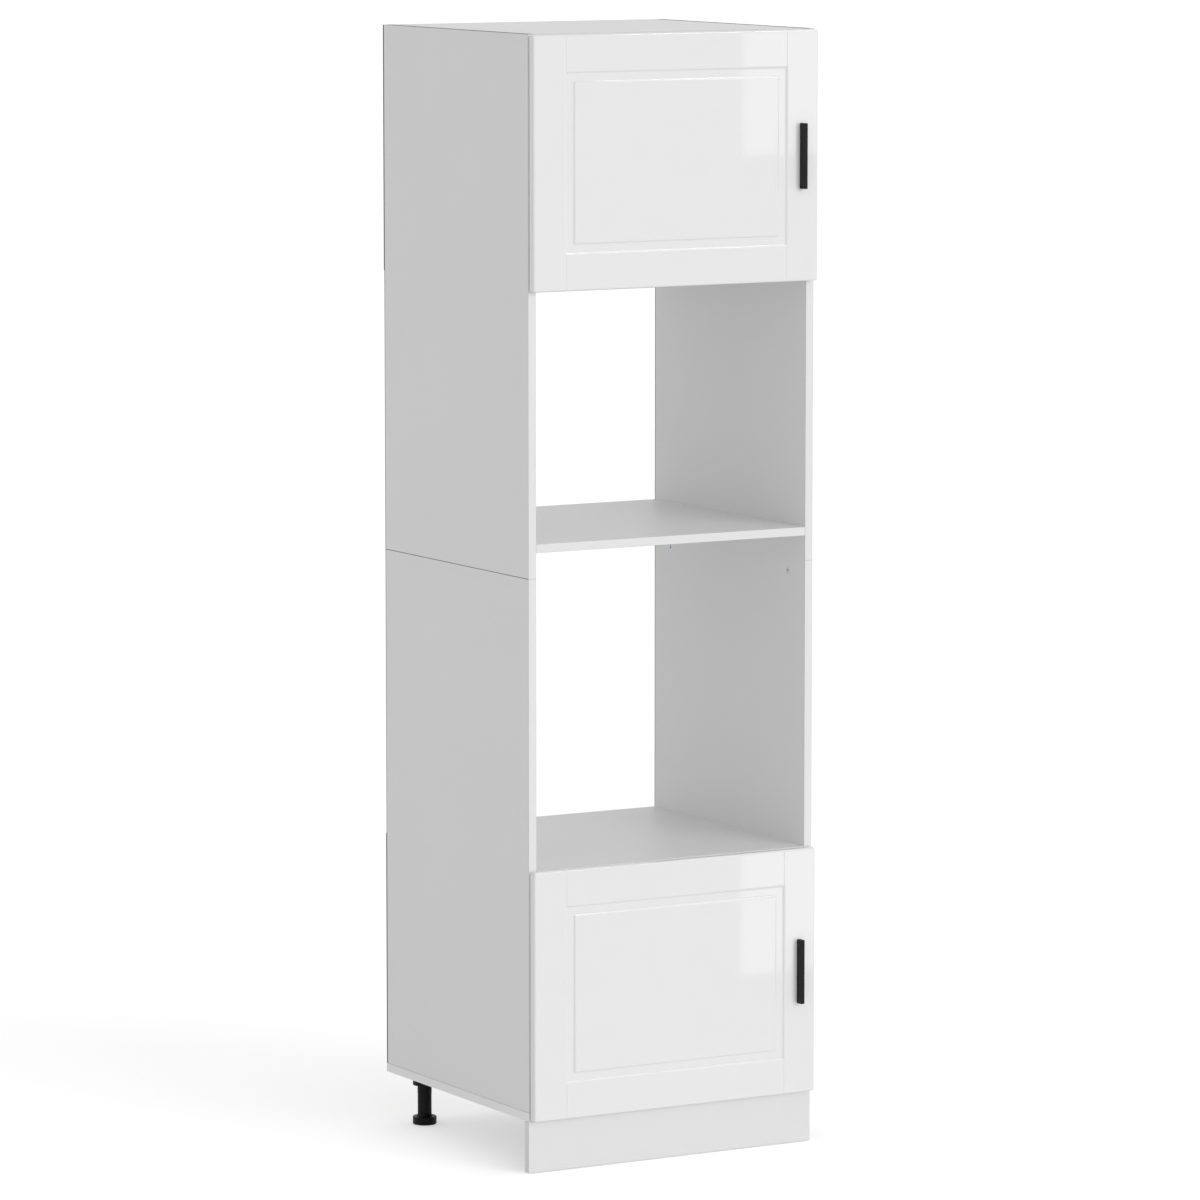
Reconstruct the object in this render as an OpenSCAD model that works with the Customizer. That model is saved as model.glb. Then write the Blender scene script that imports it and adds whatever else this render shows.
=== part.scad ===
// Tall kitchen housing unit: a lower cupboard, an oven bay, a microwave bay
// and an upper cupboard, on four adjustable legs behind a plinth.
// Millimetres, +Z up, fronts towards -Y, origin on the floor under the middle.

/* [Carcass] */
// Width over the two side panels
unit_w = 600; // [500:1:700]
// Depth from the rear face to the door fronts, without the handles
unit_d = 570; // [500:1:650]
// Thickness of the carcass boards
board_t = 16; // [15:0.5:19]
// Thickness of the back panels
back_t = 3; // [2.5:0.5:6]
// How far a back panel laps over the rear edge of a shelf
back_lap = 10; // [7:0.5:13]
// Step of a back panel in from the outer faces
back_inset = 0.5; // [0:0.1:2]

/* [Bays] */
// Clear height of each cupboard behind a door
cupboard_h = 430; // [380:1:520]
// Clear height of the oven bay
oven_bay_h = 579; // [560:1:620]
// Clear height of the microwave bay
microwave_bay_h = 454; // [360:1:480]
// Drop of the side panels' seam below the microwave shelf
seam_drop = 46.5; // [44:0.5:120]
// Chamfer along the outer edges of each seam in the sides
seam_c = 0.6; // [0.3:0.1:1]

/* [Doors] */
// Thickness of a door
door_t = 16; // [15.5:0.5:18]
// Gap between the carcass and a closed door
door_gap = 2; // [1.8:0.1:2.4]
// Step of a door in from the carcass edges
door_reveal = 1.5; // [1:0.1:2]
// Radius along the front edges of a door
door_edge_r = 4; // [2:0.5:5]
// Chamfer along the back edges of a door
door_back_c = 1.2; // [1:0.1:1.5]
// Radius of a door's corners, seen from the front
door_corner_r = 3; // [2:0.5:6]
// Width of the frame round the panel
frame_w = 64; // [50:1:90]
// Width of the routed channel between frame and field
channel_w = 24; // [17:0.5:30]
// Depth of the routed channel
channel_d = 3.5; // [1.5:0.5:4]
// Width of the curved step at each side of the channel
bead_w = 7; // [4.5:0.5:8]
// Width of the V-groove at each joint of stile and rail
groove_w = 3; // [1.5:0.5:4]
// Depth of the V-groove
groove_d = 1.2; // [0.6:0.1:2]

/* [Handles] */
// Length of a bar handle
handle_l = 120; // [112:1:200]
// Width of a bar handle
handle_w = 8; // [7:0.5:12]
// Depth of a bar handle
handle_d = 15; // [12:0.5:25]
// Distance from the door's free edge to the handle's middle
handle_inset = 35.5; // [20:0.5:50]
// Distance between the two screws of a handle
handle_pitch = 96; // [64:32:96]
// Radius along a handle's edges
handle_edge_r = 1.2; // [0.5:0.1:2]

/* [Hinges] */
// Distance from a door's end to the middle of a hinge
hinge_inset = 80; // [60:1:110]
// Diameter of the hinge cup
cup_d = 35; // [35:1:38]
// Depth of the cup in the door
cup_h = 13.5; // [13.2:0.1:14]
// Wood left between the cup and the door's hinge edge
cup_edge = 3; // [3:0.1:3.4]
// Distance from the door's hinge edge to the pivot
pivot_in = 7.5; // [7.3:0.1:7.8]
// Depth of the pivot behind the door's inner face
pivot_depth = 10.5; // [10.2:0.1:10.8]
// Diameter of the hinge pin
pin_d = 2.4; // [2:0.1:2.8]
// Width of the neck that turns on the pin
neck_w = 6; // [5:0.5:7]
// Thickness of the hinge arm's steel
arm_t = 1.8; // [1.5:0.1:1.8]
// Width of the hinge arm
arm_w = 13; // [12:0.5:16]
// Length of the hinge arm inside the cupboard
arm_l = 58; // [54:1:70]
// Distance from the carcass front to the mounting plate's screws
plate_y = 37; // [36:1:39]

/* [Legs] */
// Height of the legs, from the floor to the carcass
leg_h = 97; // [95:1:150]
// Diameter of a leg tube
tube_d = 25; // [24:0.5:32]
// Diameter of the socket that holds the tube
socket_d = 42; // [38:0.5:50]
// Height of the socket below the carcass
socket_h = 22; // [18:0.5:26]
// Diameter of the foot disc
foot_d = 43; // [38:0.5:60]
// Height of the foot disc
foot_h = 14; // [10:0.5:18]
// Diameter of the foot's threaded stem
stem_d = 12; // [8:0.5:16]
// Travel of a foot when it is screwed out
foot_travel = 20; // [10:1:25]
// Distance from a side face to a leg's axis
leg_side = 53; // [45:1:80]
// Distance from the rear face to a rear leg's axis
leg_rear = 52; // [45:1:90]
// Distance from the plinth's rear face to a front leg's axis
leg_behind_plinth = 42; // [36:1:80]

/* [Plinth] */
// Thickness of the plinth board
plinth_t = 16; // [12:0.5:19]
// Step of the plinth behind the carcass front
plinth_back = 1; // [0:0.5:40]
// Gap between the plinth and the floor
plinth_gap = 1.5; // [1:0.5:4]

/* [Fittings] */
// Diameter of a cam housing
cam_d = 15; // [14:0.5:17]
// Height of a cam housing
cam_h = 12.5; // [11.5:0.1:12.8]
// Distance from the joint to the cam's middle
cam_reach = 24; // [22:0.5:34]
// Diameter of a wooden dowel
dowel_d = 8; // [6:0.5:9]
// Length of a wooden dowel
dowel_l = 32; // [25:1:34]
// Distance from the board's edges to the nearest cam
cam_inset = 60; // [45:1:90]
// Distance from a cam to its dowel
dowel_step = 32; // [24:1:48]
// Diameter of a shelf pin
pin_hole_d = 5; // [4.5:0.5:6]
// Number of rows of shelf pin holes above and below the middle one
pin_rows = 2; // [0:1:3]
// Distance between the rows of shelf pin holes
pin_pitch = 32; // [25:1:40]

/* [Hidden] */

// Smoothness of round parts: large ones, and small ones such as screws.
round_fn = 64;
small_fn = 24;
// Overshoot of a cut, so that it passes clean through a face.
eps = 1;
// Radial clearance of a fixed fit, a running fit and a seat.
fit = 0.1;
running = 0.06;
seat = 0.3;

// Depths, from the front of the handles to the rear faces.
rear_y = (unit_d + handle_d) / 2;
door_front_y = rear_y - unit_d;
door_back_y = door_front_y + door_t;
front_y = door_back_y + door_gap;
board_rear_y = rear_y - back_t;
board_d = board_rear_y - front_y;

// Widths.
half_w = unit_w / 2;
inner_x = half_w - board_t;
inner_w = 2 * inner_x;

// Heights, given by the underside of each board.
bottom_z = leg_h;
lower_z = bottom_z + board_t;
oven_shelf_z = lower_z + cupboard_h;
microwave_shelf_z = oven_shelf_z + board_t + oven_bay_h;
cupboard_floor_z = microwave_shelf_z + board_t + microwave_bay_h;
top_z = cupboard_floor_z + board_t + cupboard_h;
unit_h = top_z + board_t;
seam_z = microwave_shelf_z - seam_drop;

// Doors: the lower one reaches from the carcass underside to the oven shelf.
door_w = unit_w - 2 * door_reveal;
door_h = cupboard_h + 2 * board_t - 2 * door_reveal;
lower_door_z = bottom_z + door_reveal;
upper_door_z = cupboard_floor_z + door_reveal;
field_in = frame_w + channel_w - bead_w;
groove_in = frame_w + bead_w / 2;

// Places of the fittings along the depth.
cam_ys = [front_y + cam_inset, board_rear_y - cam_inset];
dowel_ys = [front_y + cam_inset + dowel_step, board_rear_y - cam_inset - dowel_step];
pin_ys = [front_y + cam_inset, board_rear_y - cam_inset];

// Joints between boards: the middle of each joint and how its cam is turned.
// Locally +X runs into the board with the cam, which goes in from -Z.
function flat_joints(z, ys) = [
    for (y = ys) [[-inner_x, y, z + board_t / 2], [0, 0, 0]],
    for (y = ys) [[inner_x, y, z + board_t / 2], [0, 0, 180]]
];
function upright_joints(side, z, ys) = [
    for (y = ys) [[side * (half_w - board_t / 2), y, z], [0, -90, side > 0 ? 180 : 0]]
];
function seam_joints(side, z, ys) = [
    for (y = ys) [[side * (half_w - board_t / 2), y, z], [0, 90, side > 0 ? 0 : 180]]
];
shelf_zs = [oven_shelf_z, microwave_shelf_z, cupboard_floor_z, top_z];
function all_joints(ys) = [
    for (z = shelf_zs) each flat_joints(z, ys),
    for (side = [-1, 1]) each upright_joints(side, lower_z, ys),
    for (side = [-1, 1]) each seam_joints(side, seam_z, ys)
];

// Cam fitting.
bolt_d = 5;
bolt_sink = 11;
bolt_head_d = 7;
bolt_head_l = 3;
bolt_neck_d = 4;
dowel_left = 5;
dowel_tip = 1.5;
cam_slot_w = 2;
cam_slot_l = 9;
cam_slot_d = 2;

// Screws: shank and head of each kind, and how deep a wood screw bites.
wood_screw_d = 3.5;
wood_screw_head_d = 7;
wood_screw_head_t = 2;
wood_bite = 10;
back_screw_d = 3;
back_screw_head_d = 6;
back_screw_l = 16;
machine_screw_d = 4;
machine_head_d = 8;
machine_head_t = 2.2;
recess_w = 1;
recess_depth = 1;

// Loose shelves and their pins.
loose_gap = 1;
loose_setback = 20;
shelf_pin_sink = 9;
shelf_pin_out = 7;
shelf_pin_collar_d = 9;
shelf_pin_collar_t = 1.5;

// Leg details.
flange_d = 60;
flange_t = 4;
flange_screw_r = 25.5;
flange_sink = board_t - 5;
sleeve_d = tube_d + 2;
sleeve_h = 17;
collar_h = 5;
collar_w = 3;
tube_end_t = 4;
stem_left = 18;
flute_n = 12;
flute_r = 2;
flute_depth = 0.8;
flute_stop = 2;
stem_l = foot_travel + stem_left;
leg_front_y = front_y + plinth_back + plinth_t + leg_behind_plinth;
leg_rear_y = rear_y - leg_rear;
leg_x = half_w - leg_side;
leg_places = [[-leg_x, leg_front_y], [leg_x, leg_front_y],
              [-leg_x, leg_rear_y], [leg_x, leg_rear_y]];
foot_top_z = foot_h + collar_h;
tube_z = foot_top_z + seat;

// Plinth clip.
clip_t = 2.5;
clip_h = 16;
clip_z = leg_h / 2;
clip_open = 100;
clip_neck_w = 7.5;
clip_plate_w = 34;
clip_plate_h = 26;
clip_screw_step = 24;

// Wall brackets under the top panel.
bracket_side = 100;
bracket_x = half_w - bracket_side;
bracket_w = 30;
bracket_leg = 40;
bracket_t = 2.5;
wall_hole_d = 6;
wall_hole_drop = 24;
bracket_screw_in = 24;
bracket_screw_step = 16;
bracket_bend_r = 3;

// How far a handle screw bites into the handle.
handle_bite = handle_d - 6;

// Hinge, in a plan frame with its origin at the side's inner front corner.
hinge_x = -inner_x;
edge_x = -(board_t - door_reveal);
cup_x = edge_x + cup_edge + cup_d / 2;
pivot_x = edge_x + pivot_in;
pivot_y = -door_gap - pivot_depth;
knuckle_r = 2;
cup_wall = 1;
cup_floor = 0.7;
cup_r = cup_d / 2 - fit;
flange_cup_t = 1.4;
flange_cup_r = 19;
cup_screw_z = 24;
cup_screw_back = 6;
cup_screw_x = cup_x + cup_screw_back;
cup_screw_l = 11;
cheek_t = 2.6;
cheek_r = 2.6;
// Strap from the knuckle to the web, along the floor of the cup.
neck_reach = 12.7;
strap_y = pivot_y - knuckle_r;
bend_r = 2;
web_x = pivot_x + neck_reach;
arm_y = 6;
plate_t = 2;
plate_w = 48;
plate_l = 20;
plate_hole_z = 16;
plate_block_w = arm_w - 2 * arm_t - 2 * fit;
plate_screw_l = 12;
plate_screw_d = 6;
plate_screw_head_d = 8.6;
arm_screw_ys = [20, 52];
arm_screw_head_d = 7;
arm_screw_head_t = 2.2;
arm_screw_short = 2;
hinge_zs = [hinge_inset, door_h - hinge_inset];

// Door bumpers.
bumper_d = 8;
bumper_t = door_gap - seat;
bumper_in = 9;

gloss_white = "#f2f2f2";
board_white = "#ececec";
edge_white = "#f6f6f6";
satin_white = "#e8e8e8";
hardboard_grey = "#9a9894";
black = "#1c1c1e";
steel = "#c3c5c8";
zinc = "#b0b2b5";
beech = "#d8b98a";

// ---------- shared shapes ----------

// Upright board from its lowest corner.
module board(low, size) {
    translate(low) cube(size);
}

// Puts a child at each joint of a list, turned as the joint is.
module at_joints(joints) {
    for (j = joints) translate(j[0]) rotate(j[1]) children();
}

// Everything a cam fitting removes from the boards it joins.
module cam_cut() {
    translate([cam_reach, 0, -board_t / 2 - eps])
        cylinder(h = cam_h + fit + eps, d = cam_d + 2 * fit, $fn = round_fn);
    rotate([0, 90, 0])
        cylinder(h = cam_reach, d = bolt_head_d + 4 * fit, $fn = small_fn);
    translate([-bolt_sink - fit, 0, 0]) rotate([0, 90, 0])
        cylinder(h = bolt_sink + 2 * fit, d = bolt_d + 2 * fit, $fn = small_fn);
}

// Everything a dowel removes from the boards it joins.
module dowel_cut() {
    reach = dowel_reach();
    translate([-reach - fit, 0, 0]) rotate([0, 90, 0])
        cylinder(h = dowel_l + 2 * fit, d = dowel_d + 2 * fit, $fn = small_fn);
}
// How deep a dowel sits in the board that is thin in its direction.
function dowel_reach() = min(dowel_l / 3, board_t - dowel_left);

module joint_cuts(z) {
    at_joints(flat_joints(z, cam_ys)) cam_cut();
    at_joints(flat_joints(z, dowel_ys)) dowel_cut();
}

// Countersunk screw along +Z, with the top of its head at z = 0.
module countersunk_screw(d, head_d, l) {
    head_h = (head_d - d) / 2;
    difference() {
        union() {
            translate([0, 0, -head_h])
                cylinder(h = head_h, d1 = d, d2 = head_d, $fn = small_fn);
            translate([0, 0, -l]) cylinder(h = l, d = d, $fn = small_fn);
        }
        cross_recess(head_d * 0.6, recess_depth);
    }
}

// The hole for that screw.
module countersunk_hole(d, head_d, l) {
    head_h = (head_d - d) / 2;
    translate([0, 0, -head_h - fit])
        cylinder(h = head_h + fit, d1 = d + 2 * fit, d2 = head_d + 2 * fit, $fn = small_fn);
    translate([0, 0, -l - fit]) cylinder(h = l + fit, d = d + 2 * fit, $fn = small_fn);
}

// Screw with a flat round head on z = 0, its shank along -Z.
module pan_screw(d, head_d, head_t, l) {
    difference() {
        union() {
            cylinder(h = head_t, d = head_d, $fn = small_fn);
            translate([0, 0, -l]) cylinder(h = l + head_t / 2, d = d, $fn = small_fn);
        }
        translate([0, 0, head_t]) cross_recess(head_d * 0.6, min(recess_depth, head_t * 0.6));
    }
}

// Plain hole along -Z, open at z = 0.
module cylinder_down(l, d) {
    translate([0, 0, -l]) cylinder(h = l, d = d, $fn = small_fn);
}

// Cross-shaped recess below z = 0.
module cross_recess(l, depth) {
    for (a = [0, 90]) rotate(a)
        translate([-l / 2, -recess_w / 2, -depth]) cube([l, recess_w, depth + eps]);
}

// Rectangle on the origin's corner with its four corners rounded.
module round_rect(w, h, r) {
    difference() {
        square([w, h]);
        for (x = [0, 1], y = [0, 1])
            translate([x * w, y * h]) rotate(corner_turn(x, y)) corner_waste(r);
    }
}
function corner_turn(x, y) = x == 0 ? (y == 0 ? 0 : -90) : (y == 0 ? 90 : 180);

// What rounding takes off a corner whose tip is at the origin.
module corner_waste(r) {
    translate([-eps, -eps]) difference() {
        square(r + eps);
        translate([r + eps, r + eps]) circle(r, $fn = round_fn);
    }
}

// Points of a curved step: two arcs that leave and meet their planes flat.
// It runs from [0, 0] to [w, -h].
step_n = 5;
function step_radius(w, h) = (w * w + h * h) / (4 * h);
function step_curve(w, h) =
    let (r = step_radius(w, h), top = asin(w / (2 * r)))
    concat(
        [for (i = [0:step_n]) let (a = top * i / step_n) [r * sin(a), -r + r * cos(a)]],
        [for (i = [step_n - 1:-1:0]) let (a = top * i / step_n)
            [w - r * sin(a), -h + r - r * cos(a)]]
    );
function mirrored(points) =
    [for (i = [len(points) - 1:-1:0]) [-points[i][0], points[i][1]]];

// Section of the sunk pocket inside the frame, or of the field in its middle:
// flat in the middle, a curved step at each side, open towards +Y.
module pocket_section(w) {
    left = [for (p = step_curve(bead_w, channel_d)) [p[0] - w / 2, p[1]]];
    polygon(concat([[-w / 2, eps]], left, mirrored(left), [[w / 2, eps]]));
}
module field_section(w) {
    left = [for (p = step_curve(bead_w, channel_d)) [-w / 2 + bead_w - p[0], p[1]]];
    left_up = [for (i = [len(left) - 1:-1:0]) left[i]];
    polygon(concat(
        [[-w / 2, -channel_d - eps]], left_up, [[-w / 2 + bead_w, 2 * eps]],
        [[w / 2 - bead_w, 2 * eps]], mirrored(left_up), [[w / 2, -channel_d - eps]]
    ));
}

// Prism along X, centred on x = 0: the section's first axis stands up, its
// second runs back.
module along_x(l) {
    translate([l / 2, 0, 0]) rotate([0, -90, 0]) linear_extrude(l) children();
}

// Two crossing prisms of one section, w wide and h high: mitred at the corners.
module crossed(w, h) {
    intersection() {
        translate([0, 0, -h / 2 - eps]) linear_extrude(h + 2 * eps) children(0);
        along_x(w + 2 * eps) children(1);
    }
}

// ---------- doors ----------

// Door board with rounded front edges and chamfered back edges, its front face
// in the plane y = 0 and its middle on the Z axis from z = 0 up.
module door_board() {
    intersection() {
        translate([-door_w / 2, 0, 0]) linear_extrude(door_h) edge_section(door_w);
        along_x(door_w) edge_section(door_h);
        translate([-door_w / 2, door_t, 0]) rotate([90, 0, 0])
            linear_extrude(door_t) round_rect(door_w, door_h, door_corner_r);
    }
}

// Section across a door: front on y = 0, back on y = door_t.
module edge_section(w) {
    difference() {
        square([w, door_t]);
        corner_waste(door_edge_r);
        translate([w, 0]) rotate(90) corner_waste(door_edge_r);
        translate([0, door_t]) rotate(45) square(door_back_c * sqrt(2), center = true);
        translate([w, door_t]) rotate(45) square(door_back_c * sqrt(2), center = true);
    }
}

module door() {
    pocket_w = door_w - 2 * frame_w;
    pocket_h = door_h - 2 * frame_w;
    field_w = door_w - 2 * field_in;
    field_h = door_h - 2 * field_in;
    difference() {
        door_board();
        translate([0, 0, door_h / 2]) mirror([0, 1, 0]) difference() {
            crossed(pocket_w, pocket_h) {
                pocket_section(pocket_w);
                pocket_section(pocket_h);
            }
            crossed(field_w, field_h) {
                field_section(field_w);
                field_section(field_h);
            }
        }
        for (side = [-1, 1], z = [-eps, door_h - groove_in])
            translate([side * (door_w / 2 - groove_in), 0, z])
                linear_extrude(groove_in + eps) groove_section();
        for (z = hinge_zs) translate([0, 0, z]) cup_cut();
        for (z = [-1, 1]) translate([door_w / 2 - handle_inset, 0, door_h / 2 + z * handle_pitch / 2])
            rotate([-90, 0, 0]) translate([0, 0, -eps])
                cylinder(h = door_t + 2 * eps, d = machine_screw_d + 4 * fit, $fn = small_fn);
    }
}

module groove_section() {
    over = 0.2;
    run = groove_w / 2 * (1 + over / groove_d);
    polygon([[-run, -over], [run, -over], [0, groove_d]]);
}

// Bores for one cup and its two screws, from the door's back face.
module cup_cut() {
    translate([cup_x - edge_x - door_w / 2, door_t - cup_h, 0]) rotate([-90, 0, 0])
        cylinder(h = cup_h + eps, d = cup_d, $fn = round_fn);
    for (z = [-cup_screw_z, cup_screw_z])
        translate([cup_screw_x - edge_x - door_w / 2, door_t + flange_cup_t, z])
            rotate([-90, 0, 0])
                countersunk_hole(wood_screw_d, wood_screw_head_d, cup_screw_l);
}

module lower_door() {
    color(gloss_white) translate([0, door_front_y, lower_door_z]) door();
}
module upper_door() {
    color(gloss_white) translate([0, door_front_y, upper_door_z]) door();
}

// Bar handle on the door's front face, standing on z = 0.
module bar_handle() {
    bore_l = handle_bite + 2;
    difference() {
        intersection() {
            translate([-handle_w / 2, -handle_d, 0]) linear_extrude(handle_l)
                bar_section(handle_w);
            translate([0, -handle_d, 0]) along_x(handle_w) bar_section(handle_l);
        }
        for (z = [-1, 1]) translate([0, -bore_l, handle_l / 2 + z * handle_pitch / 2])
            rotate([-90, 0, 0])
                cylinder(h = bore_l + eps, d = machine_screw_d + 2 * fit, $fn = small_fn);
    }
}
module bar_section(w) {
    difference() {
        square([w, handle_d]);
        corner_waste(handle_edge_r);
        translate([w, 0]) rotate(90) corner_waste(handle_edge_r);
    }
}
module handle_screws() {
    for (z = [-1, 1]) translate([0, door_t, handle_l / 2 + z * handle_pitch / 2])
        rotate([-90, 0, 0]) pan_screw(machine_screw_d, machine_head_d, machine_head_t, door_t + handle_bite);
}
module at_handle(door_z) {
    translate([door_w / 2 - handle_inset, door_front_y, door_z + (door_h - handle_l) / 2])
        children();
}
module lower_handle() {
    color(black) at_handle(lower_door_z) bar_handle();
}
module upper_handle() {
    color(black) at_handle(upper_door_z) bar_handle();
}
module lower_handle_screws() {
    color(zinc) at_handle(lower_door_z) handle_screws();
}
module upper_handle_screws() {
    color(zinc) at_handle(upper_door_z) handle_screws();
}

// Two soft pads on the door's back, at its free edge.
module door_bumpers() {
    x = inner_x + board_t / 2;
    for (z = [bumper_in, door_h - bumper_in]) translate([x, door_back_y, z])
        rotate([-90, 0, 0]) {
            cylinder(h = bumper_t * 0.6, d = bumper_d, $fn = small_fn);
            translate([0, 0, bumper_t * 0.6])
                cylinder(h = bumper_t * 0.4, d1 = bumper_d, d2 = bumper_d * 0.7, $fn = small_fn);
        }
}
module lower_door_bumpers() {
    color(edge_white) translate([0, 0, lower_door_z]) door_bumpers();
}
module upper_door_bumpers() {
    color(edge_white) translate([0, 0, upper_door_z]) door_bumpers();
}

// ---------- hinges ----------

// Puts a child at each hinge of a door, in the hinge's plan frame.
module at_hinges(door_z) {
    for (z = hinge_zs) translate([hinge_x, front_y, door_z + z]) children();
}
module at_all_hinges() {
    at_hinges(lower_door_z) children();
    at_hinges(upper_door_z) children();
}

// Pressed cup with a flat flange, and two cheeks inside that hold the pin.
module hinge_cup() {
    face_y = -door_gap;
    difference() {
        union() {
            translate([cup_x, face_y - cup_h + fit, 0]) rotate([-90, 0, 0])
                cylinder(h = cup_h - fit, r = cup_r, $fn = round_fn);
            cup_flange(face_y);
        }
        difference() {
            translate([cup_x, face_y - cup_h + cup_floor + fit, 0]) rotate([-90, 0, 0])
                cylinder(h = cup_h + 2 * eps, r = cup_r - cup_wall, $fn = round_fn);
            cup_cheeks();
        }
        translate([pivot_x, pivot_y, -neck_w / 2 - cheek_t - eps])
            cylinder(h = neck_w + 2 * cheek_t + 2 * eps, d = pin_d + fit, $fn = small_fn);
        for (z = [-cup_screw_z, cup_screw_z])
            translate([cup_screw_x, face_y + flange_cup_t, z]) rotate([-90, 0, 0])
                countersunk_hole(wood_screw_d, wood_screw_head_d, flange_cup_t + eps);
    }
}

// Flange: the cup's rim, two ears for the screws, cut straight at the door edge.
module cup_flange(face_y) {
    ear_r = 6.5;
    edge_cut = 2;
    translate([0, face_y + flange_cup_t, 0]) rotate([90, 0, 0])
        linear_extrude(flange_cup_t) intersection() {
            hull() {
                translate([cup_x, 0]) circle(flange_cup_r, $fn = 32);
                for (z = [-cup_screw_z, cup_screw_z])
                    translate([cup_screw_x, z]) circle(ear_r, $fn = 32);
            }
            translate([edge_x + cup_edge + edge_cut, -cup_screw_z - ear_r - eps])
                square([2 * flange_cup_r + ear_r, 2 * (cup_screw_z + ear_r + eps)]);
        }
}

// Cheeks: round at the pivot, joined to the cup's floor and to its wall.
module cup_cheeks() {
    deep = cup_h - pivot_depth;
    wall_x = pivot_x - cheek_r - 2 * eps;
    for (side = [0, 1]) mirror([0, 0, side])
        translate([0, 0, neck_w / 2 + seat]) linear_extrude(cheek_t) {
            translate([pivot_x, pivot_y]) circle(cheek_r, $fn = round_fn);
            translate([wall_x, pivot_y - deep]) square([pivot_x + cheek_r - wall_x, deep]);
            translate([wall_x, pivot_y]) square([pivot_x - wall_x, cheek_r]);
        }
}
module lower_hinge_cups() {
    color(steel) at_hinges(lower_door_z) hinge_cup();
}
module upper_hinge_cups() {
    color(steel) at_hinges(upper_door_z) hinge_cup();
}

module hinge_pin() {
    pin_l = neck_w + 2 * seat + 2 * cheek_t - 2 * fit;
    translate([pivot_x, pivot_y, -pin_l / 2]) cylinder(h = pin_l, d = pin_d, $fn = small_fn);
}
module lower_hinge_pins() {
    color(zinc) at_hinges(lower_door_z) hinge_pin();
}
module upper_hinge_pins() {
    color(zinc) at_hinges(upper_door_z) hinge_pin();
}

module cup_screws() {
    for (z = [-cup_screw_z, cup_screw_z])
        translate([cup_screw_x, -door_gap + flange_cup_t, z]) rotate([-90, 0, 0])
            countersunk_screw(wood_screw_d, wood_screw_head_d, cup_screw_l);
}
module lower_cup_screws() {
    color(zinc) at_hinges(lower_door_z) cup_screws();
}
module upper_cup_screws() {
    color(zinc) at_hinges(upper_door_z) cup_screws();
}

// One strip of steel: a knuckle round the pin, a goose neck out of the cup,
// and a channel-shaped arm that lies on the mounting plate.
module hinge_arm() {
    difference() {
        union() {
            translate([0, 0, -neck_w / 2]) linear_extrude(neck_w) neck_section();
            translate([web_x, arm_y, -arm_w / 2]) cube([arm_t, arm_l - arm_y, arm_w]);
            for (side = [0, 1]) mirror([0, 0, side])
                translate([plate_t + seat, arm_y, arm_w / 2 - arm_t])
                    cube([web_x - plate_t, arm_l - arm_y, arm_t]);
            shoulder();
        }
        translate([pivot_x, pivot_y, -neck_w / 2 - eps])
            cylinder(h = neck_w + 2 * eps, d = pin_d + 2 * running, $fn = small_fn);
        for (y = arm_screw_ys) translate([web_x - eps, y, 0]) rotate([0, 90, 0])
            cylinder(h = arm_t + 2 * eps, d = machine_screw_d + 2 * fit, $fn = small_fn);
    }
}
module neck_section() {
    translate([pivot_x, pivot_y]) circle(knuckle_r, $fn = round_fn);
    translate([pivot_x, strap_y]) square([web_x - bend_r - pivot_x, arm_t]);
    translate([web_x - bend_r, strap_y + arm_t + bend_r]) intersection() {
        difference() {
            circle(bend_r + arm_t, $fn = round_fn);
            circle(bend_r, $fn = round_fn);
        }
        translate([0, -bend_r - arm_t]) square(bend_r + arm_t);
    }
    translate([web_x, strap_y + arm_t + bend_r])
        square([arm_t, arm_y - strap_y - arm_t - bend_r]);
}
// The web widens from the neck to the arm.
module shoulder() {
    run = 3;
    translate([web_x + arm_t, 0, 0]) rotate([0, -90, 0]) linear_extrude(arm_t)
        polygon([
            [-neck_w / 2, arm_y - run], [neck_w / 2, arm_y - run],
            [arm_w / 2, arm_y], [-arm_w / 2, arm_y]
        ]);
}
module hinge_arms() {
    color(steel) at_all_hinges() hinge_arm();
}

// Mounting plate: two wings with screws, and a block that the arm is clamped to.
module hinge_plate() {
    difference() {
        union() {
            translate([0, plate_y - plate_l / 2, 0]) rotate([90, 0, 90])
                linear_extrude(plate_t) wing_outline();
            translate([0, arm_y + eps, -plate_block_w / 2])
                cube([web_x - seat / 2, arm_l - arm_y - 2 * eps, plate_block_w]);
        }
        for (z = [-plate_hole_z, plate_hole_z]) translate([plate_t, plate_y, z])
            rotate([0, 90, 0])
                countersunk_hole(plate_screw_d, plate_screw_head_d, plate_t + eps);
        for (y = arm_screw_ys) translate([eps, y, 0]) rotate([0, 90, 0])
            cylinder(h = web_x + eps, d = machine_screw_d + 2 * fit, $fn = small_fn);
    }
}
module wing_outline() {
    corner = 6;
    translate([0, -plate_w / 2]) round_rect(plate_l, plate_w, corner);
}
module hinge_plates() {
    color(steel) at_all_hinges() hinge_plate();
}
module hinge_plate_screws() {
    color(zinc) at_all_hinges()
        for (z = [-plate_hole_z, plate_hole_z]) translate([plate_t, plate_y, z])
            rotate([0, 90, 0])
                countersunk_screw(plate_screw_d, plate_screw_head_d, plate_screw_l);
}
module hinge_arm_screws() {
    shank = web_x - arm_screw_short;
    color(zinc) at_all_hinges()
        for (y = arm_screw_ys) translate([web_x + arm_t, y, 0]) rotate([0, 90, 0])
            pan_screw(machine_screw_d, arm_screw_head_d, arm_screw_head_t, shank);
}

// Holes for the screws of the mounting plates in one left side panel.
module plate_screw_cuts(door_z) {
    at_hinges(door_z)
        for (z = [-plate_hole_z, plate_hole_z]) translate([eps, plate_y, z])
            rotate([0, -90, 0])
                cylinder(h = plate_screw_l - plate_t + eps + fit, d = plate_screw_d + 2 * fit,
                         $fn = small_fn);
}

// ---------- carcass ----------

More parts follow.
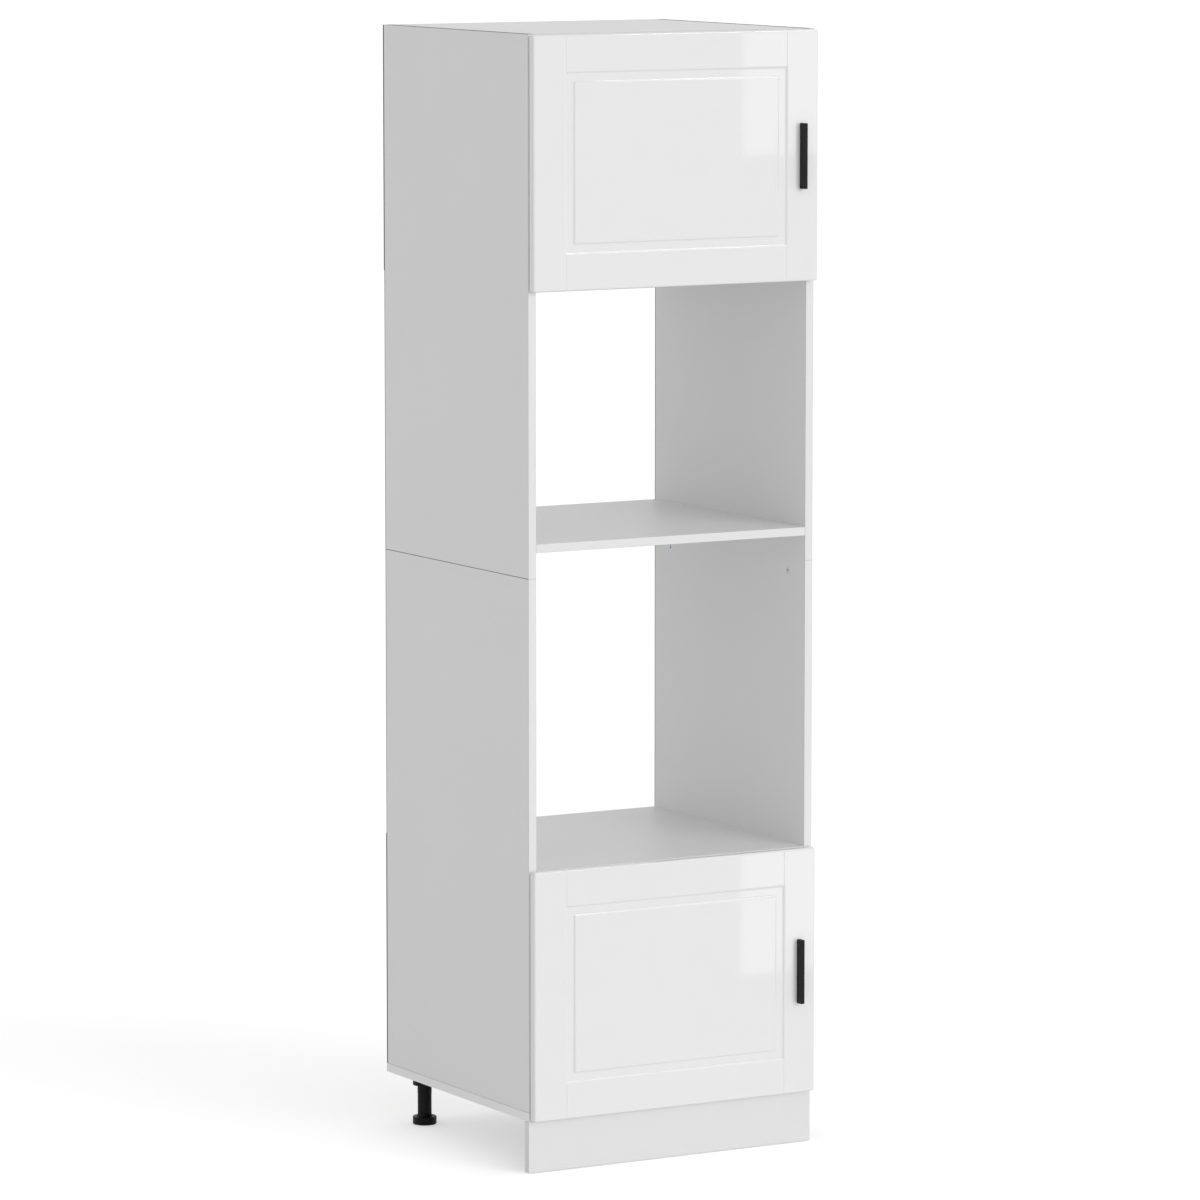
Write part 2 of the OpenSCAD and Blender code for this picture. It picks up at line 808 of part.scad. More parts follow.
// Rear edge holes for the back panel screws, and the screws' places.
function spread(low, high, n) = [for (i = [0:n - 1]) low + (high - low) * i / (n - 1)];
screw_margin = 40;
screw_rows = 4;
screw_columns = 3;
lower_back_top = oven_shelf_z + back_lap;
upper_back_low = cupboard_floor_z + board_t - back_lap;
function side_screws(low, high) = [
    for (side = [-1, 1], z = spread(low + screw_margin, high - screw_margin, screw_rows))
        [side * (half_w - board_t / 2), z]
];
function row_screws(z) = [
    for (x = spread(-inner_x + screw_margin, inner_x - screw_margin, screw_columns)) [x, z]
];
lower_back_screws = concat(
    side_screws(lower_z, lower_back_top), row_screws(oven_shelf_z + back_lap / 2)
);
upper_back_screws = concat(
    side_screws(upper_back_low, unit_h), row_screws(upper_back_low + back_lap / 2),
    row_screws(top_z + board_t / 2)
);
back_screws = concat(lower_back_screws, upper_back_screws);

module at_back_screws(places) {
    for (p = places) translate([p[0], rear_y, p[1]]) rotate([-90, 0, 0]) children();
}
module back_screw_cuts(places) {
    at_back_screws(places)
        countersunk_hole(back_screw_d, back_screw_head_d, back_screw_l);
}
module back_panel_screws() {
    color(zinc) at_back_screws(back_screws)
        countersunk_screw(back_screw_d, back_screw_head_d, back_screw_l);
}

// Rows of shelf pin holes in one side, in a cupboard whose floor is at z.
function pin_zs(z) = [
    for (i = [-pin_rows:pin_rows]) z + cupboard_h / 2 + i * pin_pitch
];
module pin_cuts(side, z) {
    for (y = pin_ys, pz = pin_zs(z)) translate([side * inner_x, y, pz])
        rotate([0, side * 90, 0]) translate([0, 0, -eps])
            cylinder(h = shelf_pin_sink + eps + fit, d = pin_hole_d + 2 * fit, $fn = small_fn);
}

// Side panel between two heights.
module side_blank(side, low, high) {
    x = side > 0 ? inner_x : -half_w;
    board([x, front_y, low], [board_t, board_d, high - low]);
}

// Waste of the chamfers on the outer edges that meet in a seam.
module seam_chamfer(side, z) {
    translate([side * half_w, front_y - eps, z]) rotate([-90, 0, 0])
        linear_extrude(board_d + back_t + 2 * eps) rotate(45)
            square(seam_c * sqrt(2), center = true);
}

module side_lower(side) {
    color(board_white) difference() {
        side_blank(side, lower_z, seam_z);
        for (z = [lower_z, seam_z]) seam_chamfer(side, z);
        joint_cuts(oven_shelf_z);
        at_joints(upright_joints(side, lower_z, cam_ys)) cam_cut();
        at_joints(upright_joints(side, lower_z, dowel_ys)) dowel_cut();
        at_joints(seam_joints(side, seam_z, cam_ys)) cam_cut();
        at_joints(seam_joints(side, seam_z, dowel_ys)) dowel_cut();
        pin_cuts(side, lower_z);
        back_screw_cuts(lower_back_screws);
        if (side < 0) plate_screw_cuts(lower_door_z);
    }
}
module side_upper(side) {
    color(board_white) difference() {
        side_blank(side, seam_z, unit_h);
        seam_chamfer(side, seam_z);
        for (z = [microwave_shelf_z, cupboard_floor_z, top_z]) joint_cuts(z);
        at_joints(seam_joints(side, seam_z, cam_ys)) cam_cut();
        at_joints(seam_joints(side, seam_z, dowel_ys)) dowel_cut();
        pin_cuts(side, cupboard_floor_z + board_t);
        back_screw_cuts(upper_back_screws);
        if (side < 0) plate_screw_cuts(upper_door_z);
    }
}
module left_side_lower() { side_lower(-1); }
module right_side_lower() { side_lower(1); }
module left_side_upper() { side_upper(-1); }
module right_side_upper() { side_upper(1); }

module bottom_panel() {
    color(board_white) difference() {
        board([-half_w, front_y, bottom_z], [unit_w, board_d + back_t, board_t]);
        for (side = [-1, 1]) {
            seam_chamfer(side, lower_z);
            at_joints(upright_joints(side, lower_z, cam_ys)) cam_cut();
            at_joints(upright_joints(side, lower_z, dowel_ys)) dowel_cut();
        }
        at_legs() flange_screw_places()
            cylinder(h = flange_sink + fit, d = wood_screw_d + 2 * fit, $fn = small_fn);
    }
}

module fixed_shelf(z) {
    color(board_white) difference() {
        board([-inner_x, front_y, z], [inner_w, board_d, board_t]);
        joint_cuts(z);
        back_screw_cuts(back_screws);
    }
}
module oven_shelf() { fixed_shelf(oven_shelf_z); }
module microwave_shelf() { fixed_shelf(microwave_shelf_z); }
module cupboard_floor() { fixed_shelf(cupboard_floor_z); }
module top_panel() {
    difference() {
        fixed_shelf(top_z);
        at_brackets() bracket_top_screw()
            cylinder_down(bracket_t + wood_bite + fit, wood_screw_d + 2 * fit);
    }
}

// A back panel, with holes where its screws and any wall fixings pass.
module back_panel(low, high) {
    w = unit_w - 2 * back_inset;
    difference() {
        board([-w / 2, board_rear_y, low], [w, back_t, high - low]);
        back_screw_cuts(back_screws);
    }
}
module lower_back_panel() {
    color(hardboard_grey) back_panel(lower_z, lower_back_top);
}
module upper_back_panel() {
    color(hardboard_grey) difference() {
        back_panel(upper_back_low, unit_h);
        at_brackets() wall_hole(back_t);
    }
}

// Loose shelf on four pins, in a cupboard whose floor is at z.
module loose_shelf(z) {
    color(board_white)
        board([-inner_x + loose_gap, front_y + loose_setback, z + cupboard_h / 2 + pin_hole_d / 2],
              [inner_w - 2 * loose_gap, board_d - loose_setback - seat, board_t]);
}
module lower_loose_shelf() { loose_shelf(lower_z); }
module upper_loose_shelf() { loose_shelf(cupboard_floor_z + board_t); }

module shelf_pin() {
    translate([0, 0, -shelf_pin_sink])
        cylinder(h = shelf_pin_sink + shelf_pin_out, d = pin_hole_d, $fn = small_fn);
    difference() {
        cylinder(h = shelf_pin_collar_t, d = shelf_pin_collar_d, $fn = small_fn);
        translate([-shelf_pin_collar_d, 0, -eps])
            cube([2 * shelf_pin_collar_d, shelf_pin_collar_d, shelf_pin_collar_t + 2 * eps]);
    }
}
module shelf_pins() {
    color(zinc) for (z = [lower_z, cupboard_floor_z + board_t], side = [-1, 1], y = pin_ys)
        translate([side * inner_x, y, z + cupboard_h / 2])
            rotate([0, -side * 90, 0]) rotate(-side * 90) shelf_pin();
}

// Cam housing: a drum with a way in for the bolt's head and a cross slot.
module cam_housing() {
    difference() {
        translate([cam_reach, 0, -board_t / 2])
            cylinder(h = cam_h, d = cam_d, $fn = round_fn);
        rotate([0, 90, 0]) cylinder(h = cam_reach + bolt_head_d / 2, d = bolt_head_d + 4 * fit,
                                    $fn = small_fn);
        translate([cam_reach, 0, -board_t / 2]) for (a = [0, 90]) rotate(a)
            translate([-cam_slot_l / 2, -cam_slot_w / 2, -eps])
                cube([cam_slot_l, cam_slot_w, cam_slot_d + eps]);
    }
}
module cam_housings() {
    color(zinc) at_joints(all_joints(cam_ys)) cam_housing();
}

// Cam bolt: sunk in one board, with a collar at the joint and a head in the cam.
module cam_bolt() {
    rotate([0, 90, 0]) {
        translate([0, 0, -bolt_sink]) cylinder(h = bolt_sink, d = bolt_d, $fn = small_fn);
        cylinder(h = bolt_head_l, d = bolt_head_d, $fn = small_fn);
        cylinder(h = cam_reach - bolt_head_l, d = bolt_neck_d, $fn = small_fn);
        translate([0, 0, cam_reach - bolt_head_l])
            cylinder(h = bolt_head_l, d = bolt_head_d, $fn = small_fn);
    }
}
module cam_bolts() {
    color(steel) at_joints(all_joints(cam_ys)) cam_bolt();
}

// Wooden dowel with tapered ends.
module dowel() {
    tip = dowel_tip;
    translate([-dowel_reach(), 0, 0]) rotate([0, 90, 0]) {
        cylinder(h = tip, d1 = dowel_d - tip, d2 = dowel_d, $fn = small_fn);
        translate([0, 0, tip]) cylinder(h = dowel_l - 2 * tip, d = dowel_d, $fn = small_fn);
        translate([0, 0, dowel_l - tip])
            cylinder(h = tip, d1 = dowel_d, d2 = dowel_d - tip, $fn = small_fn);
    }
}
module dowels() {
    color(beech) at_joints(all_joints(dowel_ys)) dowel();
}

// Angle bracket under the top panel, against the upper back panel.
module at_brackets() {
    for (side = [-1, 1]) translate([side * bracket_x, board_rear_y, top_z]) children();
}
module wall_hole(through) {
    translate([0, -bracket_t - eps, -wall_hole_drop]) rotate([-90, 0, 0])
        cylinder(h = bracket_t + through + 2 * eps, d = wall_hole_d, $fn = small_fn);
}
module bracket_top_screw() {
    for (x = [-1, 1]) translate([x * bracket_screw_step / 2, -bracket_screw_in, -bracket_t]) rotate([180, 0, 0])
        children();
}
module wall_bracket() {
    inner_r = bracket_bend_r;
    difference() {
        translate([-bracket_w / 2, 0, 0]) rotate([90, 0, 90]) linear_extrude(bracket_w)
            difference() {
                translate([-bracket_leg, -bracket_leg]) square(bracket_leg);
                translate([-bracket_leg - eps, -bracket_leg - eps])
                    difference() {
                        square(bracket_leg - bracket_t + eps);
                        translate([bracket_leg - bracket_t + eps - inner_r,
                                   bracket_leg - bracket_t + eps - inner_r])
                            difference() {
                                square(inner_r + eps);
                                circle(inner_r, $fn = round_fn);
                            }
                    }
            }
        wall_hole(0);
        bracket_top_screw()
            countersunk_hole(wood_screw_d, wood_screw_head_d, bracket_t + eps);
    }
}
module wall_brackets() {
    color(zinc) at_brackets() wall_bracket();
}
module wall_bracket_screws() {
    color(steel) at_brackets() bracket_top_screw()
        countersunk_screw(wood_screw_d, wood_screw_head_d, bracket_t + wood_bite);
}

// ---------- legs and plinth ----------

module at_legs() {
    for (p = leg_places) translate([p[0], p[1], bottom_z]) children();
}
module flange_screw_places() {
    for (a = [45:90:315]) rotate(a) translate([flange_screw_r, 0, 0]) children();
}

// Socket: a round flange under the carcass and a sleeve for the tube.
module leg_socket() {
    difference() {
        union() {
            translate([0, 0, -flange_t]) cylinder(h = flange_t, d = flange_d, $fn = round_fn);
            translate([0, 0, -socket_h]) cylinder(h = socket_h, d = socket_d, $fn = round_fn);
            translate([0, 0, -socket_h - sleeve_h])
                cylinder(h = sleeve_h + eps, d = sleeve_d, $fn = round_fn);
        }
        translate([0, 0, -socket_h - sleeve_h - eps])
            cylinder(h = socket_h + sleeve_h - flange_t + eps, d = tube_d + 2 * fit, $fn = round_fn);
        translate([0, 0, -flange_t - eps]) flange_screw_places()
            cylinder(h = flange_t + 2 * eps, d = wood_screw_d + 2 * fit, $fn = small_fn);
    }
}
module leg_sockets() {
    color(black) at_legs() leg_socket();
}

// Tube with a bore for the foot's stem, fluted where it shows below the sleeve.
module leg_tube() {
    tube_l = leg_h - flange_t - seat - tube_z;
    flute_l = leg_h - socket_h - sleeve_h - flute_stop - tube_z;
    translate([0, 0, -flange_t - seat - tube_l]) difference() {
        cylinder(h = tube_l, d = tube_d, $fn = round_fn);
        translate([0, 0, -eps])
            cylinder(h = tube_l - tube_end_t + eps, d = stem_d + 2 * running, $fn = round_fn);
        for (i = [0:flute_n - 1]) rotate(360 * i / flute_n)
            translate([tube_d / 2 + flute_r - flute_depth, 0, -eps])
                cylinder(h = flute_l + eps, r = flute_r, $fn = small_fn);
    }
}
module leg_tubes() {
    color(black) at_legs() leg_tube();
}
module leg_screws() {
    color(zinc) at_legs() flange_screw_places() translate([0, 0, -flange_t])
        rotate([180, 0, 0])
            pan_screw(wood_screw_d, wood_screw_head_d, wood_screw_head_t, flange_t + flange_sink);
}

// Foot: a disc with a rounded rim, a tapered collar and the stem in one revolve.
module foot() {
    rim = 2;
    r = foot_d / 2;
    stem_r = stem_d / 2;
    stem_c = 1;
    rotate_extrude($fn = round_fn) polygon([
        [0, 0], [r - rim, 0], [r, rim], [r, foot_h - rim / 2], [r - rim / 2, foot_h],
        [tube_d / 2 + collar_w, foot_h], [tube_d / 2, foot_top_z],
        [stem_r, foot_top_z], [stem_r, foot_top_z + stem_l - stem_c],
        [stem_r - stem_c, foot_top_z + stem_l], [0, foot_top_z + stem_l]
    ]);
}
module foot_at(i) {
    color(black) translate([leg_places[i][0], leg_places[i][1], 0]) foot();
}
module foot_front_left() { foot_at(0); }
module foot_front_right() { foot_at(1); }
module foot_rear_left() { foot_at(2); }
module foot_rear_right() { foot_at(3); }

plinth_y = front_y + plinth_back;
plinth_rear_y = plinth_y + plinth_t;
plinth_h = leg_h - plinth_gap - seat;
module plinth() {
    color(satin_white) difference() {
        board([-half_w, plinth_y, plinth_gap], [unit_w, plinth_t, plinth_h]);
        at_clips() clip_screw_places() translate([0, 0, -eps])
            cylinder(h = wood_bite + eps + fit, d = wood_screw_d + 2 * fit, $fn = small_fn);
    }
}

// Clip: an open ring that snaps on the tube, and a plate screwed to the plinth.
module at_clips() {
    for (side = [-1, 1]) translate([side * leg_x, plinth_rear_y, clip_z]) children();
}
module clip_screw_places() {
    for (x = [-1, 1]) translate([x * clip_screw_step / 2, 0, 0]) rotate([90, 0, 0]) children();
}
module plinth_clip() {
    r = tube_d / 2 + seat;
    difference() {
        union() {
            translate([-clip_plate_w / 2, 0, -clip_plate_h / 2])
                cube([clip_plate_w, clip_t, clip_plate_h]);
            translate([-clip_neck_w / 2, 0, -clip_h / 2])
                cube([clip_neck_w, leg_behind_plinth - r - clip_t / 2, clip_h]);
            translate([0, leg_behind_plinth, -clip_h / 2])
                cylinder(h = clip_h, r = r + clip_t, $fn = round_fn);
        }
        translate([0, leg_behind_plinth, -clip_h / 2 - eps])
            cylinder(h = clip_h + 2 * eps, r = r, $fn = round_fn);
        translate([0, leg_behind_plinth, -clip_h / 2 - eps]) linear_extrude(clip_h + 2 * eps)
            polygon([
                [0, 0], [-2 * r * sin(clip_open / 2), 2 * r * cos(clip_open / 2)],
                [0, 3 * r], [2 * r * sin(clip_open / 2), 2 * r * cos(clip_open / 2)]
            ]);
        translate([0, clip_t, 0]) clip_screw_places() translate([0, 0, -eps])
            cylinder(h = clip_t + 2 * eps, d = wood_screw_d + 2 * fit, $fn = small_fn);
    }
}
module plinth_clips() {
    color(black) at_clips() plinth_clip();
}
module plinth_clip_screws() {
    color(zinc) at_clips() translate([0, clip_t, 0]) clip_screw_places()
        rotate([180, 0, 0])
            pan_screw(wood_screw_d, wood_screw_head_d, wood_screw_head_t, clip_t + wood_bite);
}

left_side_lower();
left_side_upper();
right_side_lower();
right_side_upper();
bottom_panel();
oven_shelf();
microwave_shelf();
cupboard_floor();
top_panel();
lower_back_panel();
upper_back_panel();
back_panel_screws();
lower_loose_shelf();
upper_loose_shelf();
shelf_pins();
cam_housings();
cam_bolts();
dowels();
leg_sockets();
leg_tubes();
leg_screws();
foot_front_left();
foot_front_right();
foot_rear_left();
foot_rear_right();
plinth();
plinth_clips();
plinth_clip_screws();
wall_brackets();
wall_bracket_screws();
hinge_plates();
hinge_plate_screws();
hinge_arms();
hinge_arm_screws();
lower_door();
lower_hinge_cups();
lower_hinge_pins();
lower_cup_screws();
lower_handle();
lower_handle_screws();
lower_door_bumpers();
upper_door();
upper_hinge_cups();
upper_hinge_pins();
upper_cup_screws();
upper_handle();
upper_handle_screws();
upper_door_bumpers();
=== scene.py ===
import math

import bmesh
import bpy
from bpy.props import FloatProperty, FloatVectorProperty, IntProperty, PointerProperty
from bpy.types import Operator, Panel, PropertyGroup
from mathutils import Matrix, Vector


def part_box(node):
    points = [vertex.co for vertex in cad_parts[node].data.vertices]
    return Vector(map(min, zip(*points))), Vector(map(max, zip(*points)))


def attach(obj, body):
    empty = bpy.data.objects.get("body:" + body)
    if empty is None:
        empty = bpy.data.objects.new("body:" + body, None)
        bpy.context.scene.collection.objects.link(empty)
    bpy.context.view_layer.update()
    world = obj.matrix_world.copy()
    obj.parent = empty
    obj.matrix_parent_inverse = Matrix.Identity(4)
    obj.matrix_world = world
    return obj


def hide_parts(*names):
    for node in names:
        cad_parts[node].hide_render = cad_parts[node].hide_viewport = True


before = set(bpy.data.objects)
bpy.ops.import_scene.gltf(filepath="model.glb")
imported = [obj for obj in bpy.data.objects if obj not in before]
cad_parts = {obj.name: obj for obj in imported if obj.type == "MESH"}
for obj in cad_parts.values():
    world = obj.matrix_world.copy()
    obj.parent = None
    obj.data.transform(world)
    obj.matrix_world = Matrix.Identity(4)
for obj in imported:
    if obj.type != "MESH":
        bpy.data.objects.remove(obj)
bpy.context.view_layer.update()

bl_info = {
    "name": "Tall Oven Housing Unit",
    "version": (1, 0, 0),
    "blender": (4, 5, 0),
    "location": "View3D > Sidebar > Housing",
    "description": "Doors, handles, legs, edge bands, finishes and studio of a tall kitchen unit",
    "category": "Object",
}

MM = 0.001
CUPBOARDS = ("lower", "upper")
LEG_CORNERS = ("front_left", "front_right", "rear_left", "rear_right")
# Edges that turn by more than this stay sharp
SMOOTH_ANGLE = math.radians(32)
# Points that lie nearer to each other than this count as one
TOUCH = 0.05 * MM
# Facets round a drum or a bore
ROUND = 96


def linear(hex_colour):
    """Turns an sRGB hex colour into the linear RGBA that Blender works in."""
    channels = [int(hex_colour[i:i + 2], 16) / 255 for i in (1, 3, 5)]
    return [c / 12.92 if c <= 0.04045 else ((c + 0.055) / 1.055) ** 2.4 for c in channels] + [1.0]


def length(title, about, millimetres):
    """Property for a length, with its default in millimetres."""
    return FloatProperty(name=title, description=about, default=millimetres * MM,
                         min=0.0, unit="LENGTH", precision=4)


def colour(title, about, hex_colour):
    """Property for a colour, with its default as an sRGB hex colour."""
    return FloatVectorProperty(name=title, description=about, default=linear(hex_colour),
                               size=4, min=0.0, max=1.0, subtype="COLOR")


class HousingDoorSizes(PropertyGroup):
    """Sizes of a framed door leaf and its bar handle."""
    frame_w: length("Frame", "Width of the frame round the panel", 64)
    channel_w: length("Channel", "Width of the routed channel", 24)
    channel_d: length("Channel depth", "Depth of the routed channel", 3.5)
    bead_w: length("Curved step", "Width of the curved step at each side of the channel", 7)
    groove_w: length("V-groove", "Width of the V-groove where stile and rail meet", 2.4)
    groove_d: length("V-groove depth", "Depth of the V-groove", 0.8)
    corner_r: length("Corner radius", "Radius of a corner seen from the front", 4.2)
    edge_r: length("Edge radius", "Radius along the front edges", 4)
    back_c: length("Back chamfer", "Chamfer along the back edges", 1.2)
    cup_d: length("Hinge bore", "Diameter of the bore for a hinge cup", 35)
    cup_h: length("Hinge bore depth", "Depth of the bore for a hinge cup", 13.5)
    cup_edge: length("Hinge bore edge", "Wood left beside a hinge bore", 3)
    hinge_inset: length("Hinge inset", "Distance from the door's end to a hinge's middle", 80)
    handle_edge_r: length("Handle edge radius", "Radius along a handle's edges", 1.2)
    step_cuts: IntProperty(name="Step cuts", description="Facets along half a curved step",
                           default=6, min=3, max=16)


class HousingBoardSizes(PropertyGroup):
    """Sizes of the boards' edges."""
    band_t: length("Band thickness", "Thickness of an edge band", 0.4)
    band_step: length("Band step", "How far a band's edge lies inside the board's", 0.15)
    band_r: length("Band radius", "Radius along a band's scraped edges", 0.32)
    # Width along the uprights' rear edge over which the face takes the raw edge's colour, drawing
    # a dark line
    dark_rear_rim: length("Chipped rim", "Width of the rim that the saw chips at the rear edge", 2)
    plinth_r: length("Plinth radius", "Radius along the plinth's edges", 0.8)


class HousingLegSizes(PropertyGroup):
    """Sizes of a leg: socket, tube and foot."""
    flange_d: length("Flange", "Diameter of the flange under the carcass", 60)
    flange_t: length("Flange thickness", "Thickness of that flange", 4)
    socket_d: length("Socket", "Diameter of the socket", 44.5)
    socket_h: length("Socket height", "Height of the socket with its flange", 22)
    sleeve_d: length("Sleeve", "Diameter of the sleeve below the socket", 27)
    sleeve_h: length("Sleeve height", "Height of the sleeve", 17)
    step_r: length("Step radius", "Radius along the rims of socket and sleeve", 0.8)
    tube_d: length("Tube", "Diameter of the tube", 26.4)
    tube_gap: length("Tube gap", "Gap between the tube and its sleeve", 0.1)
    tube_end: length("Tube end", "Solid length of the tube above its bore", 4)
    bore_d: length("Tube bore", "Diameter of the bore for the stem", 12.4)
    flute_depth: length("Flute depth", "Depth of the flutes along the tube", 0.6)
    flute_run: length("Flute run-out", "Length over which a flute fades out", 2)
    foot_d: length("Foot", "Diameter of the foot disc", 45.2)
    foot_h: length("Foot height", "Height of the foot disc", 15)
    foot_r: length("Foot radius", "Radius along the foot's lower rim", 2)
    rim_r: length("Rim radius", "Radius along the rims of the flange and of the foot's top", 1.2)
    collar_h: length("Foot collar", "Height of the tapered collar on the foot", 4)
    collar_w: length("Foot collar step", "How far the collar's base stands out from the tube", 3)
    stem_d: length("Stem", "Diameter of the foot's stem", 12)
    stem_r: length("Stem radius", "Radius along the stem's top", 1)
    flutes: IntProperty(name="Flutes", description="Number of flutes round the tube",
                        default=12, min=6, max=24)


class HousingColours(PropertyGroup):
    """Colours of the finishes."""
    foil: colour("Gloss foil", "Foil on the doors", "#EFEFEF")
    # The plinth's colour is a shade darker than the doors' foil: painted shade of its place under
    # the doors
    plinth: colour("Satin foil", "Foil on the plinth", "#E7E7E7")
    melamine: colour("Melamine", "Melamine face of the boards", "#EDEDED")
    edge_band: colour("Edge band", "Plastic band along the boards' front edges", "#ECECEC")
    base_band: colour("Base edge band", "Plastic band round the bottom panel", "#F5F5F5")
    chipboard: colour("Raw chipboard", "Edges of the boards that have no band", "#77746F")
    hardboard: colour("Raw hardboard", "Edges and rear of the back panels", "#93918E")
    zinc: colour("Zinc", "Zinc-plated screws and fittings", "#C4C7CA")
    nickel: colour("Nickel", "Nickel-plated pressed steel", "#CFCBC3")
    beech: colour("Beech", "Wooden dowels", "#D9B88A")
    handle: colour("Powder coat", "Black powder coat of the handles", "#0C0C0D")
    leg: colour("Black plastic", "Moulded plastic of the legs and clips", "#060607")
    bumper: colour("Bumper", "Soft pads on the doors", "#E6E8E8")
    floor: colour("Floor", "Studio floor", "#F9F9F9")


# ---------- modelling by hand, in code ----------

def alone(*pieces):
    """Leaves edit mode and selects only these pieces, the first of them active."""
    if bpy.context.mode != "OBJECT":
        bpy.ops.object.mode_set(mode="OBJECT")
    bpy.ops.object.select_all(action="DESELECT")
    for piece in pieces:
        piece.select_set(True)
    if pieces:
        bpy.context.view_layer.objects.active = pieces[0]


def start_block(name, low, high):
    """Adds a cube that fills the box from low to high, and opens it in edit mode."""
    low, high = Vector(low), Vector(high)
    alone()
    bpy.ops.mesh.primitive_cube_add(size=1, location=(low + high) / 2, scale=high - low)
    return open_new(name)


def start_drum(name, foot, radius, height, vertices=ROUND):
    """Adds an upright cylinder that stands on a point, and opens it in edit mode."""
    alone()
    bpy.ops.mesh.primitive_cylinder_add(vertices=vertices, radius=radius, depth=height,
                                        location=Vector(foot) + Vector((0, 0, height / 2)))
    return open_new(name)


def open_new(name):
    """Names a new primitive, applies its place and opens it in edit mode."""
    piece = bpy.context.active_object
    piece.name = name
    piece.data.name = name
    bpy.ops.object.transform_apply(location=True, rotation=True, scale=True)
    bpy.ops.object.mode_set(mode="EDIT")
    return piece


def pick(piece, kind, test):
    """Selects only those faces, edges or verts of a piece in edit mode that pass a test."""
    bpy.ops.mesh.select_mode(type={"faces": "FACE", "edges": "EDGE", "verts": "VERT"}[kind])
    bpy.ops.mesh.select_all(action="DESELECT")
    mesh = bmesh.from_edit_mesh(piece.data)
    mesh.normal_update()
    found = [part for part in getattr(mesh, kind) if test(part)]
    if not found:
        raise RuntimeError(f"{piece.name}: no {kind} to select")
    for part in found:
        part.select_set(True)
    mesh.select_flush_mode()
    bmesh.update_edit_mesh(piece.data)


def facing(direction, at_least=0.99):
    """Test for faces that look one way."""
    direction = Vector(direction)
    return lambda face: face.normal.dot(direction) > at_least


def rim_of(direction):
    """Test for the edges between a face that looks one way and the faces square to it."""
    looks = facing(direction)
    direction = Vector(direction)

    def on_rim(edge):
        hits = [looks(face) for face in edge.link_faces]
        turned = [abs(face.normal.dot(direction)) < 0.3 for face in edge.link_faces]
        return len(hits) == 2 and any(hits) and any(turned)
    return on_rim


def on_ring(height, radius):
    """Test for the edges along a level circle round the Z axis."""
    def near(vert):
        return max(abs(vert.co.z - height), abs(vert.co.xy.length - radius)) < TOUCH
    return lambda edge: all(near(vert) for vert in edge.verts)


def bevel(size, segments=1):
    """Rounds the selected edges or, with one segment, chamfers them."""
    bpy.ops.mesh.bevel(offset=size, offset_type="OFFSET", segments=segments, profile=0.5,
                       affect="EDGES", clamp_overlap=False)


def inset(thickness, rise=0.0):
    """Insets the selected face, and lifts or, below zero, sinks it."""
    bpy.ops.mesh.inset(thickness=thickness, depth=rise, use_even_offset=True)


def slice_all(place, normal):
    """Cuts an edge loop through the whole piece in edit mode, along a plane."""
    bpy.ops.mesh.select_all(action="SELECT")
    bpy.ops.mesh.bisect(plane_co=place, plane_no=normal)


def extrude(move):
    """Draws the selected face out by a move."""
    bpy.ops.mesh.extrude_region_move(TRANSFORM_OT_translate={"value": move})


def cut_out(piece, cutter):
    """Cuts one solid out of a piece, and removes the cutter."""
    alone(piece)
    modifier = piece.modifiers.new("cut", "BOOLEAN")
    modifier.operation = "DIFFERENCE"
    modifier.solver = "MANIFOLD"
    modifier.object = cutter
    bpy.ops.object.modifier_apply(modifier=modifier.name)
    bpy.data.objects.remove(cutter)


def finish(piece, body, finish_material, replaced=()):
    """Shades a piece smooth but for its sharp edges, and gives it its finish and its body."""
    alone(piece)
    bpy.ops.object.shade_smooth_by_angle(angle=SMOOTH_ANGLE)
    modifier = piece.modifiers.new("even faces", "WEIGHTED_NORMAL")
    modifier.keep_sharp = True
    bpy.ops.object.modifier_apply(modifier=modifier.name)
    piece.data.materials.clear()
    piece.data.materials.append(finish_material)
    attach(piece, body)
    if replaced:
        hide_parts(*replaced)


def joined(pieces, name):
    """Joins pieces into the first of them."""
    alone(*pieces)
    bpy.ops.object.join()
    pieces[0].name = name
    pieces[0].data.name = name
    return pieces[0]


def copied(piece, move):
    """Copies a piece with its own mesh, moved to its place."""
    alone(piece)
    bpy.ops.object.duplicate(linked=False)
    twin = bpy.context.active_object
    twin.location = move
    bpy.ops.object.transform_apply(location=True, rotation=False, scale=False)
    return twin


# ---------- finishes ----------

def add(tree, kind, inputs=None, **settings):
    """Adds a node, sets it up, and fills its inputs with values or with other nodes' outputs."""
    node = tree.nodes.new(kind)
    for name, value in settings.items():
        setattr(node, name, value)
    for name, value in (inputs or {}).items():
        if isinstance(value, bpy.types.NodeSocket):
            tree.links.new(value, node.inputs[name])
        else:
            node.inputs[name].default_value = value
    return node


def darker(shade, share):
    """A colour that gives back only a share of its light."""
    return [c * share for c in shade[:3]] + [1.0]


def emptied(owner):
    """The node tree of a material or world, with nothing in it."""
    owner.use_nodes = True
    owner.node_tree.nodes.clear()
    return owner.node_tree


def new_finish(name):
    """Starts a material: its node tree, emptied, and the object coordinates."""
    finish_material = bpy.data.materials.new(name)
    tree = emptied(finish_material)
    place = add(tree, "ShaderNodeTexCoord").outputs["Object"]
    return finish_material, tree, place


def close_finish(tree, surface):
    """Ends a material with its shader."""
    add(tree, "ShaderNodeOutputMaterial", {"Surface": surface.outputs["BSDF"]})


def wave_per_metre(millimetres):
    """Noise scale whose lumps are about this many millimetres across."""
    return 1 / (millimetres * MM)


